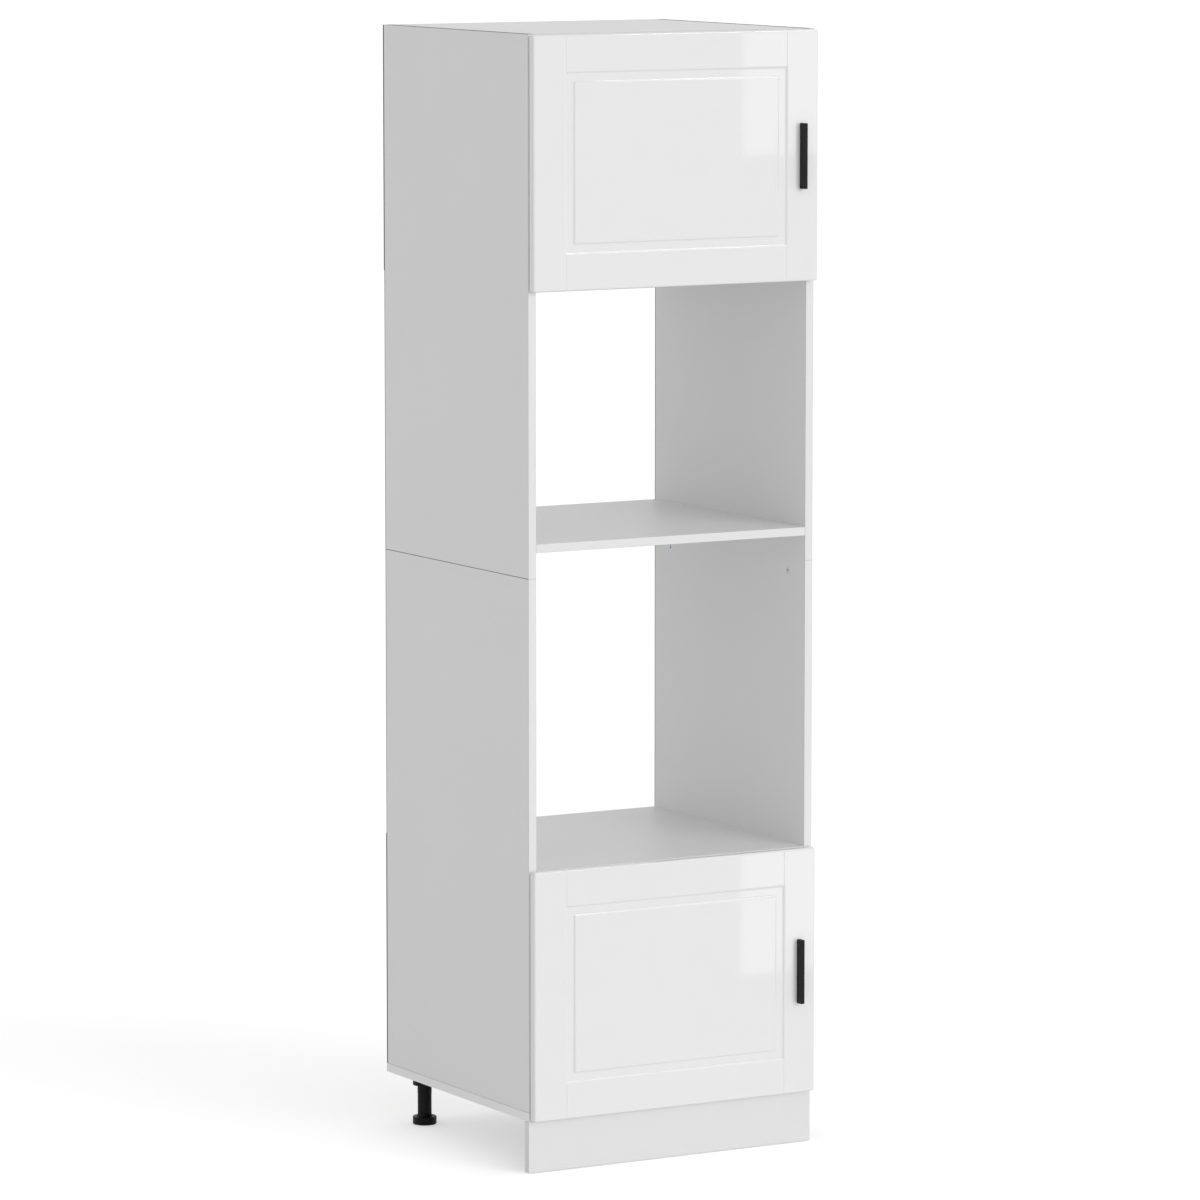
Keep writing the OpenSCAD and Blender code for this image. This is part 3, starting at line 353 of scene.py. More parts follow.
def gloss_foil(colours):
    """Gloss foil, vacuum-pressed over routed fibreboard: a deep, bright coat that follows
    the board's faint waviness, so reflections keep a soft wobble."""
    finish_material, tree, place = new_finish("gloss foil on fibreboard")
    waviness = add(tree, "ShaderNodeTexNoise",
                   {"Vector": place, "Scale": wave_per_metre(60), "Detail": 2.0})
    peel = add(tree, "ShaderNodeTexNoise",
               {"Vector": place, "Scale": wave_per_metre(4), "Detail": 2.0})
    wavy = add(tree, "ShaderNodeBump",
               {"Height": waviness.outputs["Fac"], "Strength": 0.1, "Distance": 0.3 * MM})
    peeled = add(tree, "ShaderNodeBump",
                 {"Height": peel.outputs["Fac"], "Strength": 0.12, "Distance": 0.02 * MM,
                  "Normal": wavy.outputs["Normal"]})
    sheen = add(tree, "ShaderNodeMapRange",
                {"Value": waviness.outputs["Fac"], "To Min": 0.04, "To Max": 0.07})
    tint = add(tree, "ShaderNodeMix",
               {"Factor": waviness.outputs["Fac"], "A": colours.foil,
                "B": darker(colours.foil, 0.985)}, data_type="RGBA")
    surface = add(tree, "ShaderNodeBsdfPrincipled",
                  {"Base Color": tint.outputs["Result"], "Roughness": sheen.outputs["Result"],
                   "IOR": 1.5, "Coat Weight": 0.25, "Coat Roughness": 0.05,
                   "Normal": peeled.outputs["Normal"]})
    close_finish(tree, surface)
    return finish_material


def satin_foil(colours):
    """Satin foil, wrapped round the plinth board: white, with an even, soft shine. Its colour is
    a shade darker than the doors' foil, which paints in the shade of its place under the doors.
    """
    finish_material, tree, place = new_finish("satin foil on fibreboard")
    film = add(tree, "ShaderNodeTexNoise",
               {"Vector": place, "Scale": wave_per_metre(5), "Detail": 2.0})
    satin = add(tree, "ShaderNodeMapRange",
                {"Value": film.outputs["Fac"], "To Min": 0.28, "To Max": 0.36})
    tint = add(tree, "ShaderNodeMix",
               {"Factor": film.outputs["Fac"], "A": colours.plinth,
                "B": darker(colours.plinth, 0.985)}, data_type="RGBA")
    surface = add(tree, "ShaderNodeBsdfPrincipled",
                  {"Base Color": tint.outputs["Result"], "Roughness": satin.outputs["Result"],
                   "IOR": 1.5})
    close_finish(tree, surface)
    return finish_material


# A place along Y behind every board, in metres
BEHIND_ALL = 1.0
# A face counts as square to an axis when the square of its normal's share along it is above this
SQUARE_ON = 0.8


def faced_board(name, colours, across, band=None, dark_rim_start=BEHIND_ALL):
    """Melamine-faced chipboard: a hard white film with a fine pearl grain pressed into it, that
    breaks up the shine, on the two faces that look along the axis named by across. Its edges are
    sawn chips, grey and dull, or a band of the given colour. The grain is drawn 2 mm wide, so
    that it shows. Behind a given depth the faces take the edges' colour: a dark line at the rear."""
    finish_material, tree, place = new_finish(name)
    looks = add(tree, "ShaderNodeSeparateXYZ",
                {"Vector": add(tree, "ShaderNodeTexCoord").outputs["Normal"]})
    squared = add(tree, "ShaderNodeMath", {0: looks.outputs[across], 1: 2.0}, operation="POWER")
    flat = add(tree, "ShaderNodeMath", {0: squared.outputs["Value"], 1: SQUARE_ON},
               operation="GREATER_THAN")
    depth = add(tree, "ShaderNodeSeparateXYZ", {"Vector": place})
    whole = add(tree, "ShaderNodeMath", {0: depth.outputs["Y"], 1: dark_rim_start},
                operation="LESS_THAN")
    faced = add(tree, "ShaderNodeMath", {0: flat.outputs["Value"], 1: whole.outputs["Value"]},
                operation="MULTIPLY").outputs["Value"]
    grain = add(tree, "ShaderNodeTexNoise",
                {"Vector": place, "Scale": wave_per_metre(2), "Detail": 3.0})
    cloud = add(tree, "ShaderNodeTexNoise",
                {"Vector": place, "Scale": wave_per_metre(180), "Detail": 2.0})
    chips = add(tree, "ShaderNodeTexVoronoi", {"Vector": place, "Scale": wave_per_metre(3)})
    pressed = add(tree, "ShaderNodeBump",
                  {"Height": grain.outputs["Fac"], "Strength": 0.15, "Distance": 0.05 * MM})
    satin = add(tree, "ShaderNodeMapRange",
                {"Value": grain.outputs["Fac"], "To Min": 0.4, "To Max": 0.52})
    dull = add(tree, "ShaderNodeMix", {"Factor": faced, "A": 0.35 if band else 0.9,
                                       "B": satin.outputs["Result"]}, data_type="FLOAT")
    film = add(tree, "ShaderNodeMix",
               {"Factor": cloud.outputs["Fac"], "A": colours.melamine,
                "B": darker(colours.melamine, 0.98)}, data_type="RGBA")
    sawn = add(tree, "ShaderNodeMix",
               {"Factor": chips.outputs["Distance"], "A": colours.chipboard,
                "B": darker(colours.chipboard, 0.6)}, data_type="RGBA")
    edge = band or sawn.outputs["Result"]
    tint = add(tree, "ShaderNodeMix",
               {"Factor": faced, "A": edge, "B": film.outputs["Result"]}, data_type="RGBA")
    surface = add(tree, "ShaderNodeBsdfPrincipled",
                  {"Base Color": tint.outputs["Result"], "Roughness": dull.outputs["Result"],
                   "IOR": 1.5, "Normal": pressed.outputs["Normal"]})
    close_finish(tree, surface)
    return finish_material


def edge_banding(colours):
    """ABS edge band, extruded and scraped flush: smoother and shinier than the face, with the
    scraper's streaks, about 83 mm long and a fortieth as wide, that change its shine."""
    finish_material, tree, place = new_finish("ABS edge band")
    stretched = add(tree, "ShaderNodeMapping", {"Vector": place, "Scale": (40, 40, 1)})
    scraped = add(tree, "ShaderNodeTexNoise",
                  {"Vector": stretched.outputs["Vector"], "Scale": wave_per_metre(83.3),
                   "Detail": 2.0})
    satin = add(tree, "ShaderNodeMapRange",
                {"Value": scraped.outputs["Fac"], "To Min": 0.24, "To Max": 0.36})
    tint = add(tree, "ShaderNodeMix",
               {"Factor": scraped.outputs["Fac"], "A": colours.edge_band,
                "B": darker(colours.edge_band, 0.97)}, data_type="RGBA")
    surface = add(tree, "ShaderNodeBsdfPrincipled",
                  {"Base Color": tint.outputs["Result"], "Roughness": satin.outputs["Result"],
                   "IOR": 1.54})
    close_finish(tree, surface)
    return finish_material


def hardboard(colours):
    """Hardboard, hot-pressed from fibre: lacquered white on the face inside the cupboard, raw
    and grey with fine fibres on the rear, and much darker on the cut edges."""
    finish_material, tree, place = new_finish("hardboard, lacquered one side")
    facing_in = add(tree, "ShaderNodeSeparateXYZ",
                    {"Vector": add(tree, "ShaderNodeTexCoord").outputs["Normal"]})
    lacquered = add(tree, "ShaderNodeMath", {0: facing_in.outputs["Y"], 1: -0.5},
                    operation="LESS_THAN")
    fibre = add(tree, "ShaderNodeTexNoise",
                {"Vector": place, "Scale": wave_per_metre(3), "Detail": 6.0, "Roughness": 0.7})
    rear = add(tree, "ShaderNodeMath", {0: facing_in.outputs["Y"], 1: 0.5},
               operation="GREATER_THAN")
    raw = add(tree, "ShaderNodeMix",
              {"Factor": fibre.outputs["Fac"], "A": colours.hardboard,
               "B": darker(colours.hardboard, 0.72)}, data_type="RGBA")
    cut = add(tree, "ShaderNodeMix",
              {"Factor": rear.outputs["Value"],
               "A": darker(colours.hardboard, 0.3),
               "B": raw.outputs["Result"]}, data_type="RGBA")
    tint = add(tree, "ShaderNodeMix",
               {"Factor": lacquered.outputs["Value"], "A": cut.outputs["Result"],
                "B": colours.melamine}, data_type="RGBA")
    dull = add(tree, "ShaderNodeMapRange",
               {"Value": lacquered.outputs["Value"], "To Min": 0.8, "To Max": 0.45})
    woven = add(tree, "ShaderNodeBump",
                {"Height": fibre.outputs["Fac"], "Strength": 0.2, "Distance": 0.1 * MM})
    surface = add(tree, "ShaderNodeBsdfPrincipled",
                  {"Base Color": tint.outputs["Result"], "Roughness": dull.outputs["Result"],
                   "Normal": woven.outputs["Normal"]})
    close_finish(tree, surface)
    return finish_material


def plated_steel(name, plating, smooth, rough):
    """Plated steel: the plating's colour over rolled or cold-headed steel, with faint clouds
    from the bath that change its shine."""
    finish_material, tree, place = new_finish(name)
    clouds = add(tree, "ShaderNodeTexNoise",
                 {"Vector": place, "Scale": wave_per_metre(6), "Detail": 3.0})
    shine = add(tree, "ShaderNodeMapRange",
                {"Value": clouds.outputs["Fac"], "To Min": smooth, "To Max": rough})
    tint = add(tree, "ShaderNodeMix",
               {"Factor": clouds.outputs["Fac"], "A": plating,
                "B": darker(plating, 0.85)}, data_type="RGBA")
    surface = add(tree, "ShaderNodeBsdfPrincipled",
                  {"Base Color": tint.outputs["Result"], "Metallic": 1.0,
                   "Roughness": shine.outputs["Result"]})
    close_finish(tree, surface)
    return finish_material


def turned_beech(colours):
    """Beech dowel rod: pale, with short dark flecks along the grain."""
    finish_material, tree, place = new_finish("turned beech")
    along = add(tree, "ShaderNodeMapping", {"Vector": place, "Scale": (0.15, 1, 1)})
    flecks = add(tree, "ShaderNodeTexNoise",
                 {"Vector": along.outputs["Vector"], "Scale": wave_per_metre(1), "Detail": 4.0})
    tint = add(tree, "ShaderNodeMix",
               {"Factor": flecks.outputs["Fac"], "A": colours.beech,
                "B": darker(colours.beech, 0.7)}, data_type="RGBA")
    surface = add(tree, "ShaderNodeBsdfPrincipled",
                  {"Base Color": tint.outputs["Result"], "Roughness": 0.6})
    close_finish(tree, surface)
    return finish_material


def powder_coat(colours):
    """Powder coat baked on a metal bar: deep black, with a fine pebble that spreads the light.
    The pebble is drawn 0.8 mm wide, so that it shows."""
    finish_material, tree, place = new_finish("black powder coat")
    pebble = add(tree, "ShaderNodeTexNoise",
                 {"Vector": place, "Scale": wave_per_metre(0.8), "Detail": 2.0})
    pebbled = add(tree, "ShaderNodeBump",
                  {"Height": pebble.outputs["Fac"], "Strength": 0.25, "Distance": 0.05 * MM})
    matt = add(tree, "ShaderNodeMapRange",
               {"Value": pebble.outputs["Fac"], "To Min": 0.42, "To Max": 0.58})
    surface = add(tree, "ShaderNodeBsdfPrincipled",
                  {"Base Color": colours.handle, "Roughness": matt.outputs["Result"],
                   "IOR": 1.5, "Specular IOR Level": 0.25, "Normal": pebbled.outputs["Normal"]})
    close_finish(tree, surface)
    return finish_material


def moulded_plastic(colours):
    """Polypropylene, injection-moulded in a fine-sparked tool: dead black, with a soft shine
    that is kept low, because the legs stand in the unit's shade."""
    finish_material, tree, place = new_finish("moulded polypropylene")
    spark = add(tree, "ShaderNodeTexNoise",
                {"Vector": place, "Scale": wave_per_metre(1), "Detail": 2.0})
    sparked = add(tree, "ShaderNodeBump",
                  {"Height": spark.outputs["Fac"], "Strength": 0.15, "Distance": 0.05 * MM})
    shine = add(tree, "ShaderNodeMapRange",
                {"Value": spark.outputs["Fac"], "To Min": 0.36, "To Max": 0.48})
    surface = add(tree, "ShaderNodeBsdfPrincipled",
                  {"Base Color": colours.leg, "Roughness": shine.outputs["Result"],
                   "IOR": 1.49, "Specular IOR Level": 0.15, "Normal": sparked.outputs["Normal"]})
    close_finish(tree, surface)
    return finish_material


def soft_pad(colours):
    """Clear-white soft pad, cast and peeled from a sheet: milky, with a dull skin."""
    finish_material, tree, place = new_finish("cast soft pad")
    skin = add(tree, "ShaderNodeTexNoise",
               {"Vector": place, "Scale": wave_per_metre(2), "Detail": 2.0})
    dull = add(tree, "ShaderNodeMapRange",
               {"Value": skin.outputs["Fac"], "To Min": 0.35, "To Max": 0.5})
    surface = add(tree, "ShaderNodeBsdfPrincipled",
                  {"Base Color": colours.bumper, "Roughness": dull.outputs["Result"],
                   "IOR": 1.41, "Transmission Weight": 0.25})
    close_finish(tree, surface)
    return finish_material


def dress(nodes, finish_material):
    """Puts a finish in the material slots of CAD nodes."""
    for name in nodes:
        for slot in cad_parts[name].material_slots:
            slot.material = finish_material


# ---------- doors and handles ----------

def step_moves(width, depth, cuts):
    """Runs and drops of a curved step: two arcs that leave and meet their planes flat."""
    radius = (width ** 2 + depth ** 2) / (4 * depth)
    steepest = math.asin(width / (2 * radius))
    half = [(radius * math.sin(steepest * i / cuts), radius * (1 - math.cos(steepest * i / cuts)))
            for i in range(cuts + 1)]
    whole = half + [(width - x, depth - y) for x, y in reversed(half[:-1])]
    return [(b[0] - a[0], b[1] - a[1]) for a, b in zip(whole, whole[1:])]


def groove_cutter(name, low, high):
    """A V-shaped bar to cut a groove: a block whose inner face is drawn together."""
    cutter = start_block(name, low, high)
    pick(cutter, "faces", facing((0, 1, 0)))
    bpy.ops.transform.resize(value=(0, 1, 1))
    bpy.ops.mesh.select_all(action="SELECT")
    bpy.ops.mesh.remove_doubles(threshold=TOUCH)
    bpy.ops.object.mode_set(mode="OBJECT")
    return cutter


def door_leaf(cupboard, sizes):
    """Door leaf: a slab whose front is inset step by step into frame, channel and field."""
    low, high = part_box(cupboard + "_door")
    leaf = start_block(cupboard + "_door_leaf", low, high)
    front = (0, -1, 0)
    for x in (low.x + sizes.frame_w, high.x - sizes.frame_w):
        slice_all((x, 0, 0), (1, 0, 0))
    for z in (low.z + sizes.frame_w, high.z - sizes.frame_w):
        slice_all((0, 0, z), (0, 0, 1))
    thickness = high.y - low.y
    pick(leaf, "edges", lambda e: abs(e.verts[0].co.y - e.verts[1].co.y) > 0.9 * thickness)
    bevel(sizes.corner_r, segments=8)
    pick(leaf, "edges", rim_of(front))
    bevel(sizes.edge_r, segments=8)
    pick(leaf, "edges", rim_of((0, 1, 0)))
    bevel(sizes.back_c)

    middle = (low + high) / 2
    pick(leaf, "faces", lambda f: f.normal.y < -0.99 and
         (f.calc_center_median() - middle).length < sizes.frame_w)
    steps = step_moves(sizes.bead_w, sizes.channel_d, sizes.step_cuts)
    for run, drop in steps:
        inset(run, -drop)
    inset(sizes.channel_w - 2 * sizes.bead_w)
    for run, rise in steps:
        inset(run, rise)

    # The grooves' cutters stand a little out of the door, and past its ends.
    over = 0.2 * MM
    half_groove = sizes.groove_w / 2 * (1 + over / sizes.groove_d)
    reach = sizes.frame_w + sizes.bead_w / 2
    cutters = []
    for x in (low.x + reach, high.x - reach):
        for bottom in (low.z - MM, high.z - reach):
            cutters.append(groove_cutter(
                "groove", (x - half_groove, low.y - over, bottom),
                (x + half_groove, low.y + sizes.groove_d, bottom + reach + MM)))
    cut_out(leaf, joined(cutters, "grooves"))
    for z in (low.z + sizes.hinge_inset, high.z - sizes.hinge_inset):
        alone()
        bpy.ops.mesh.primitive_cylinder_add(
            vertices=ROUND, radius=sizes.cup_d / 2, depth=sizes.cup_h * 2,
            location=(low.x + sizes.cup_edge + sizes.cup_d / 2, high.y, z),
            rotation=(math.radians(90), 0, 0))
        cut_out(leaf, bpy.context.active_object)
    return leaf


def bar_handle(cupboard, sizes):
    """Bar handle: a block with all its edges rounded but those on the door."""
    low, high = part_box(cupboard + "_handle")
    bar = start_block(cupboard + "_bar_handle", low, high)
    pick(bar, "edges", lambda e: min(v.co.y for v in e.verts) < high.y - TOUCH)
    bevel(sizes.handle_edge_r, segments=5)
    return bar


class HOUSING_OT_doors(Operator):
    """Door leaves with routed channel, V-grooves and hinge bores"""
    bl_idname = "housing.doors"
    bl_label = "Door Leaves"

    def execute(self, context):
        foil = gloss_foil(context.scene.housing_colours)
        for cupboard in CUPBOARDS:
            leaf = door_leaf(cupboard, context.scene.housing_doors)
            finish(leaf, cupboard + "_door", foil, [cupboard + "_door"])
        return {"FINISHED"}


class HOUSING_OT_handles(Operator):
    """Black bar handles"""
    bl_idname = "housing.handles"
    bl_label = "Bar Handles"

    def execute(self, context):
        coat = powder_coat(context.scene.housing_colours)
        for cupboard in CUPBOARDS:
            bar = bar_handle(cupboard, context.scene.housing_doors)
            finish(bar, cupboard + "_door", coat, [cupboard + "_handle"])
        return {"FINISHED"}


# ---------- carcass ----------

UPRIGHT_BOARDS = ("left_side_lower", "left_side_upper", "right_side_lower", "right_side_upper")
LEVEL_BOARDS = ("oven_shelf", "microwave_shelf", "cupboard_floor", "top_panel",
                "lower_loose_shelf", "upper_loose_shelf")


def edge_band(board, sizes):
    """Edge band: a thin strip on a board's front edge, its long edges scraped round."""
    low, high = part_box(board)
    near = (low.x + sizes.band_step, low.y - sizes.band_t, low.z + sizes.band_step)
    far = (high.x - sizes.band_step, low.y + sizes.band_t, high.z - sizes.band_step)
    band = start_block(board + "_edge_band", near, far)
    pick(band, "edges", rim_of((0, -1, 0)))
    bevel(sizes.band_r, segments=3)
    return band


class HOUSING_OT_boards(Operator):
    """Melamine and hardboard finish of the carcass, with its edge bands"""
    bl_idname = "housing.boards"
    bl_label = "Boards and Edge Bands"

    def execute(self, context):
        colours = context.scene.housing_colours
        sizes = context.scene.housing_boards
        # Over a rim at the rear, the uprights' faces take the raw edge's colour, which draws a
        # dark line
        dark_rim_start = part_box("left_side_lower")[1].y - sizes.dark_rear_rim
        dress(UPRIGHT_BOARDS,
              faced_board("melamine on upright chipboard", colours, "X", dark_rim_start=dark_rim_start))
        dress(LEVEL_BOARDS,
              faced_board("melamine on level chipboard", colours, "Z"))
        dress(("bottom_panel",),
              faced_board("melamine on chipboard banded all round", colours, "Z",
                          band=list(colours.base_band)))
        dress(("lower_back_panel", "upper_back_panel"), hardboard(colours))
        banding = edge_banding(colours)
        for board in UPRIGHT_BOARDS + LEVEL_BOARDS + ("bottom_panel",):
            finish(edge_band(board, sizes), "carcass", banding)
        return {"FINISHED"}


class HOUSING_OT_plinth(Operator):
    """Plinth board in front of the legs"""
    bl_idname = "housing.plinth"
    bl_label = "Plinth"

    def execute(self, context):
        board = start_block("plinth_board", *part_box("plinth"))
        bpy.ops.mesh.select_all(action="SELECT")
        bevel(context.scene.housing_boards.plinth_r, segments=3)
        foil = satin_foil(context.scene.housing_colours)
        finish(board, "carcass", foil, ["plinth"])
        return {"FINISHED"}


# ---------- legs ----------

def leg_socket(sizes, top):
    """Socket: a flange under the carcass, stepped down to a sleeve with the tube's bore."""
    socket = start_drum("leg_socket", (0, 0, top - sizes.flange_t), sizes.flange_d / 2,
                        sizes.flange_t)
    down = (0, 0, -1)
    pick(socket, "edges", rim_of(down))
    bevel(sizes.rim_r, segments=4)
    pick(socket, "faces", facing(down))
    inset((sizes.flange_d - sizes.socket_d) / 2 - sizes.rim_r)
    extrude((0, 0, -(sizes.socket_h - sizes.flange_t)))
    inset((sizes.socket_d - sizes.sleeve_d) / 2)
    extrude((0, 0, -sizes.sleeve_h))
    inset((sizes.sleeve_d - sizes.tube_d) / 2 - sizes.tube_gap)
    extrude((0, 0, sizes.sleeve_h + sizes.socket_h - sizes.flange_t))
    socket_rim = on_ring(top - sizes.socket_h, sizes.socket_d / 2)
    sleeve_rim = on_ring(top - sizes.socket_h - sizes.sleeve_h, sizes.sleeve_d / 2)
    pick(socket, "edges", lambda e: socket_rim(e) or sleeve_rim(e))
    bevel(sizes.step_r, segments=3)
    return socket


def leg_tube(sizes, low, high, flute_top):
    """Tube with flutes drawn in along its lower part, and a bore for the foot's stem. Of the
    facets round it, the corners in the middle of each flute are drawn in."""
    facets = 6
    tube = start_drum("leg_tube", (0, 0, low), sizes.tube_d / 2, high - low,
                      sizes.flutes * facets)
    for z in (flute_top, flute_top - sizes.flute_run):
        slice_all((0, 0, z), (0, 0, 1))

    def in_flute(vert):
        turn = math.degrees(math.atan2(vert.co.y, vert.co.x)) * sizes.flutes / 360
        below = vert.co.z < flute_top - sizes.flute_run / 2
        return below and abs(turn - round(turn)) < 0.5 / facets
    pick(tube, "verts", in_flute)
    shrink = 1 - sizes.flute_depth / (sizes.tube_d / 2)
    bpy.ops.transform.resize(value=(shrink, shrink, 1), center_override=(0, 0, low))
    pick(tube, "faces", facing((0, 0, -1)))
    bpy.ops.mesh.extrude_region_move()
    to_bore = sizes.bore_d / sizes.tube_d
    bpy.ops.transform.resize(value=(to_bore, to_bore, 1), center_override=(0, 0, low))
    extrude((0, 0, high - low - sizes.tube_end))
    return tube


def leg_foot(sizes, top):
    """Foot: a disc with rounded rims, a tapered collar and a stem, drawn up from one drum."""
    foot = start_drum("leg_foot", (0, 0, 0), sizes.foot_d / 2, sizes.foot_h)
    up = (0, 0, 1)
    pick(foot, "edges", rim_of((0, 0, -1)))
    bevel(sizes.foot_r, segments=5)
    pick(foot, "edges", rim_of(up))
    bevel(sizes.rim_r, segments=4)
    pick(foot, "faces", facing(up))
    collar_d = sizes.tube_d + 2 * sizes.collar_w
    inset((sizes.foot_d - collar_d) / 2 - sizes.rim_r)
    extrude((0, 0, sizes.collar_h))
    taper = sizes.tube_d / collar_d
    bpy.ops.transform.resize(value=(taper, taper, 1), center_override=(0, 0, 0))
    inset((sizes.tube_d - sizes.stem_d) / 2)
    extrude((0, 0, top - sizes.foot_h - sizes.collar_h))
    pick(foot, "edges", rim_of(up))
    bevel(sizes.stem_r, segments=2)
    return foot


class HOUSING_OT_legs(Operator):
    """Adjustable legs: sockets, fluted tubes and feet"""
    bl_idname = "housing.legs"
    bl_label = "Legs"

    def execute(self, context):
        sizes = context.scene.housing_legs
        plastic = moulded_plastic(context.scene.housing_colours)
        feet = {corner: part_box("foot_" + corner) for corner in LEG_CORNERS}
        places = [Vector(((low.x + high.x) / 2, (low.y + high.y) / 2, 0))
                  for low, high in feet.values()]
        tube_low, tube_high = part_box("leg_tubes")
        socket_low, socket_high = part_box("leg_sockets")
        flute_top = socket_low.z - sizes.flute_run
        patterns = {
            "leg_sockets": leg_socket(sizes, socket_high.z),
            "leg_tubes": leg_tube(sizes, tube_low.z, tube_high.z, flute_top),
        }
        for node, pattern in patterns.items():
            copies = [copied(pattern, place) for place in places]
            bpy.data.objects.remove(pattern)
            finish(joined(copies, "fitted_" + node), "carcass", plastic, [node])
        stem_top = feet["front_left"][1].z
        pattern = leg_foot(sizes, stem_top)
        for corner, place in zip(LEG_CORNERS, places):
            foot = copied(pattern, place)
            foot.name = "levelling_foot_" + corner
            finish(foot, "foot_" + corner, plastic, ["foot_" + corner])
        bpy.data.objects.remove(pattern)
        dress(("plinth_clips",), plastic)
        return {"FINISHED"}


# ---------- fittings ----------

class HOUSING_OT_fittings(Operator):
    """Finishes of the hinges, screws, pins, cams, dowels, brackets and bumpers"""
    bl_idname = "housing.fittings"
    bl_label = "Fittings"

    def execute(self, context):
        colours = context.scene.housing_colours
        zinc = plated_steel("zinc-plated steel", colours.zinc, 0.28, 0.42)
        nickel = plated_steel("nickel-plated steel", colours.nickel, 0.16, 0.28)
        dress(("back_panel_screws", "shelf_pins", "cam_housings", "leg_screws",
               "plinth_clip_screws", "wall_brackets", "wall_bracket_screws",
               "hinge_plate_screws", "hinge_arm_screws", "lower_hinge_pins",
               "upper_hinge_pins", "lower_cup_screws", "upper_cup_screws",
               "lower_handle_screws", "upper_handle_screws"), zinc)
        dress(("cam_bolts", "hinge_plates", "hinge_arms", "lower_hinge_cups",
               "upper_hinge_cups"), nickel)
        dress(("dowels",), turned_beech(colours))
        dress(("lower_door_bumpers", "upper_door_bumpers"), soft_pad(colours))
        return {"FINISHED"}


# ---------- studio ----------

# Camera: its place in metres, its turn and its look down in degrees, its lens and the width of
# its sensor in millimetres, and how far it sees in metres
CAMERA_PLACE = (-6.026, -10.517, 2.510)
CAMERA_YAW = 29.80
CAMERA_PITCH = 7.065
CAMERA_LENS = 197.13
SENSOR = 36.0
CAMERA_REACH = 1000.0
# White surround: its strength where it lights the unit
WORLD_LIGHT = 0.61
# Key light: its strength, and its turn, height and spread in degrees
SUN_LIGHT = 1.20
SUN_ROUND = 20.0
SUN_HEIGHT = 11.0
SUN_SPREAD = 36.0
# Cards mirrored in the doors: their place along Y, how far they reach past the image of a
# door's corner, in metres, and their glow
CARD_Y = -1.0
CARD_ABOVE = 0.06
CARD_GLOW = 1.3
# Lower left corner of a card's image, from the unit's middle and from the door's lower edge,
# in metres
GLINT_LEFT = 0.138
GLINT_UP = 0.233
# Lamps mirrored in the slopes of the doors' channels: for each door the lamp's place in metres
# and its glow, and for both lamps the way they look and their side in metres
EDGE_LAMPS = {"upper": ((1.04, -0.84, 3.30), 6.0), "lower": ((1.83, -0.84, 3.30), 3.0)}
EDGE_LAMP_LOOK = (0, 0.56, -1.60)
EDGE_LAMP_SIDE = 0.78
# Floor: its side in metres, and the glow that lifts it to white where it is seen
FLOOR_SIDE = 600.0
FLOOR_GLOW = 0.40


def white_where_seen(tree):
    """Light Path mask: 1 where the camera, a reflection or glass looks."""
    path = add(tree, "ShaderNodeLightPath")
    seen = add(tree, "ShaderNodeMath", {0: path.outputs["Is Camera Ray"],
                                        1: path.outputs["Is Glossy Ray"]}, operation="MAXIMUM")
    return add(tree, "ShaderNodeMath", {0: seen.outputs["Value"],
                                        1: path.outputs["Is Transmission Ray"]},
               operation="MAXIMUM").outputs["Value"]


def studio_world(scene):
    """A surround that looks white and lights the unit at a plain level."""
    scene.world = bpy.data.worlds.new("white studio")
    tree = emptied(scene.world)
    strength = add(tree, "ShaderNodeMapRange", {"Value": white_where_seen(tree),
                                                "To Min": WORLD_LIGHT, "To Max": 1.0})
    backdrop = add(tree, "ShaderNodeBackground", {"Color": (1, 1, 1, 1),
                                                  "Strength": strength.outputs["Result"]})
    add(tree, "ShaderNodeOutputWorld", {"Surface": backdrop.outputs["Background"]})


def studio_floor(colours):
    """A pale floor that reads white and keeps the unit's shadow."""
    alone()
    bpy.ops.mesh.primitive_plane_add(size=FLOOR_SIDE)
    floor = bpy.context.active_object
    floor.name = "studio_floor"
    paper = bpy.data.materials.new("pale studio floor")
    tree = emptied(paper)
    matt = add(tree, "ShaderNodeBsdfDiffuse", {"Color": colours.floor})
    glow = add(tree, "ShaderNodeMath", {0: white_where_seen(tree), 1: FLOOR_GLOW},
               operation="MULTIPLY")
    lift = add(tree, "ShaderNodeEmission", {"Color": (1, 1, 1, 1),
                                            "Strength": glow.outputs["Value"]})
    both = add(tree, "ShaderNodeAddShader", {0: matt.outputs["BSDF"],
                                             1: lift.outputs["Emission"]})
    add(tree, "ShaderNodeOutputMaterial", {"Surface": both.outputs["Shader"]})
    floor.data.materials.append(paper)


def lamp(name, kind, place=(0, 0, 0), turn=(0, 0, 0), **settings):
    """Adds a lamp with its settings."""
    light = bpy.data.lights.new(name, kind)
    for key, value in settings.items():
        setattr(light, key, value)
    holder = bpy.data.objects.new(name, light)
    holder.location = place
    holder.rotation_euler = turn
    bpy.context.scene.collection.objects.link(holder)
    return holder


def area_lamp(name, centre, look, width, height, glow):
    """Rectangular softbox of a given glow, seen only in reflections."""
    turn = Vector(look).to_track_quat("-Z", "Y").to_euler()
    holder = lamp(name, "AREA", centre, turn, shape="RECTANGLE", size=width, size_y=height,
                  energy=glow * math.pi * width * height)
    holder.visible_camera = False
    holder.visible_diffuse = False


def mirrored_in_door(x, z, front):
    """Where the camera's look at a point of a door's front, mirrored there, meets the cards."""
    eye = Vector(CAMERA_PLACE)
    eye.y = 2 * front - eye.y
    look = Vector((x, front, z)) - eye
    return eye + look * (CARD_Y - eye.y) / look.y


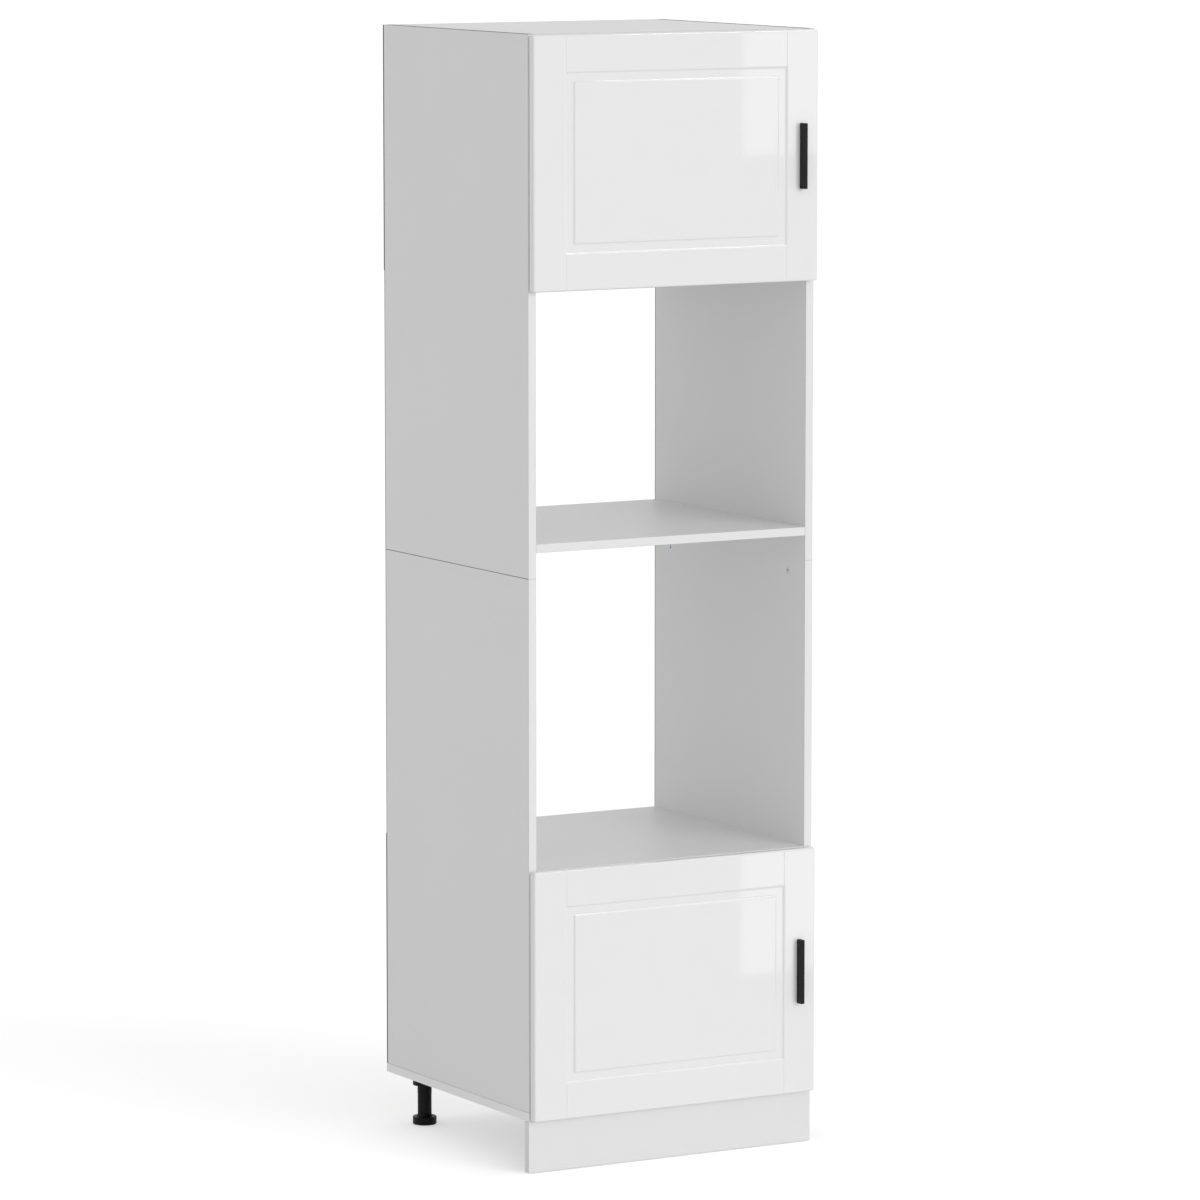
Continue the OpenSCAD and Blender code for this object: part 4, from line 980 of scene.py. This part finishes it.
def reflection_cards():
    """A card for each door, mirrored in its upper right corner."""
    for cupboard in CUPBOARDS:
        low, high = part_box(cupboard + "_door")
        corner = mirrored_in_door(GLINT_LEFT, low.z + GLINT_UP, low.y)
        far = mirrored_in_door(high.x, high.z, low.y) + Vector((CARD_ABOVE, 0, CARD_ABOVE))
        area_lamp(cupboard + " card", (corner + far) / 2, (0, 1, 0),
                  far.x - corner.x, far.z - corner.z, CARD_GLOW)


def edge_lamps():
    """A lamp high up for each door, that only the slopes of its channel mirror."""
    for cupboard, (place, glow) in EDGE_LAMPS.items():
        area_lamp(cupboard + " edge light", place, EDGE_LAMP_LOOK,
                  EDGE_LAMP_SIDE, EDGE_LAMP_SIDE, glow)


def key_light():
    """A broad, low sun, hidden from reflections so that it clips no gloss to white."""
    key = lamp("soft key", "SUN",
               turn=(math.radians(90 - SUN_HEIGHT), 0, math.radians(SUN_ROUND)),
               energy=SUN_LIGHT, angle=math.radians(SUN_SPREAD))
    key.visible_glossy = False


def photo_camera(scene):
    """The camera, at the photograph's angle."""
    camera = bpy.data.cameras.new("photo camera")
    camera.sensor_fit = "HORIZONTAL"
    camera.sensor_width = SENSOR
    camera.lens = CAMERA_LENS
    camera.clip_end = CAMERA_REACH
    holder = bpy.data.objects.new("photo camera", camera)
    holder.location = CAMERA_PLACE
    holder.rotation_euler = (math.radians(90 - CAMERA_PITCH), 0, math.radians(-CAMERA_YAW))
    scene.collection.objects.link(holder)
    scene.camera = holder


class HOUSING_OT_stage(Operator):
    """Camera, floor, lamps and white surround"""
    bl_idname = "housing.stage"
    bl_label = "Studio"

    def execute(self, context):
        scene = context.scene
        studio_world(scene)
        studio_floor(scene.housing_colours)
        key_light()
        reflection_cards()
        edge_lamps()
        photo_camera(scene)
        scene.view_settings.view_transform = "Standard"
        return {"FINISHED"}


# ---------- panel and registration ----------

GROUPS = {"housing_boards": HousingBoardSizes, "housing_doors": HousingDoorSizes,
          "housing_legs": HousingLegSizes, "housing_colours": HousingColours}
STEPS = (HOUSING_OT_boards, HOUSING_OT_doors, HOUSING_OT_handles, HOUSING_OT_plinth,
         HOUSING_OT_legs, HOUSING_OT_fittings, HOUSING_OT_stage)


class HOUSING_PT_panel(Panel):
    """Lists the unit's pieces and the sizes and colours they are made with"""
    bl_label = "Tall Oven Housing"
    bl_idname = "HOUSING_PT_panel"
    bl_space_type = "VIEW_3D"
    bl_region_type = "UI"
    bl_category = "Housing"

    def draw(self, context):
        layout = self.layout
        for step in STEPS:
            layout.operator(step.bl_idname)
        for group_name in GROUPS:
            group = getattr(context.scene, group_name)
            box = layout.box()
            for name in group.bl_rna.properties.keys():
                if name not in ("rna_type", "name"):
                    box.prop(group, name)


def register():
    """Registers the classes and hangs the sizes and colours on the scene."""
    for cls in (*GROUPS.values(), *STEPS, HOUSING_PT_panel):
        bpy.utils.register_class(cls)
    for name, group in GROUPS.items():
        setattr(bpy.types.Scene, name, PointerProperty(type=group))


def unregister():
    """Takes back what register did."""
    for name in GROUPS:
        delattr(bpy.types.Scene, name)
    for cls in reversed((*GROUPS.values(), *STEPS, HOUSING_PT_panel)):
        bpy.utils.unregister_class(cls)


def main():
    """Builds the unit."""
    register()
    bpy.ops.housing.boards()
    bpy.ops.housing.doors()
    bpy.ops.housing.handles()
    bpy.ops.housing.plinth()
    bpy.ops.housing.legs()
    bpy.ops.housing.fittings()
    bpy.ops.housing.stage()


if __name__ == "__main__":
    main()
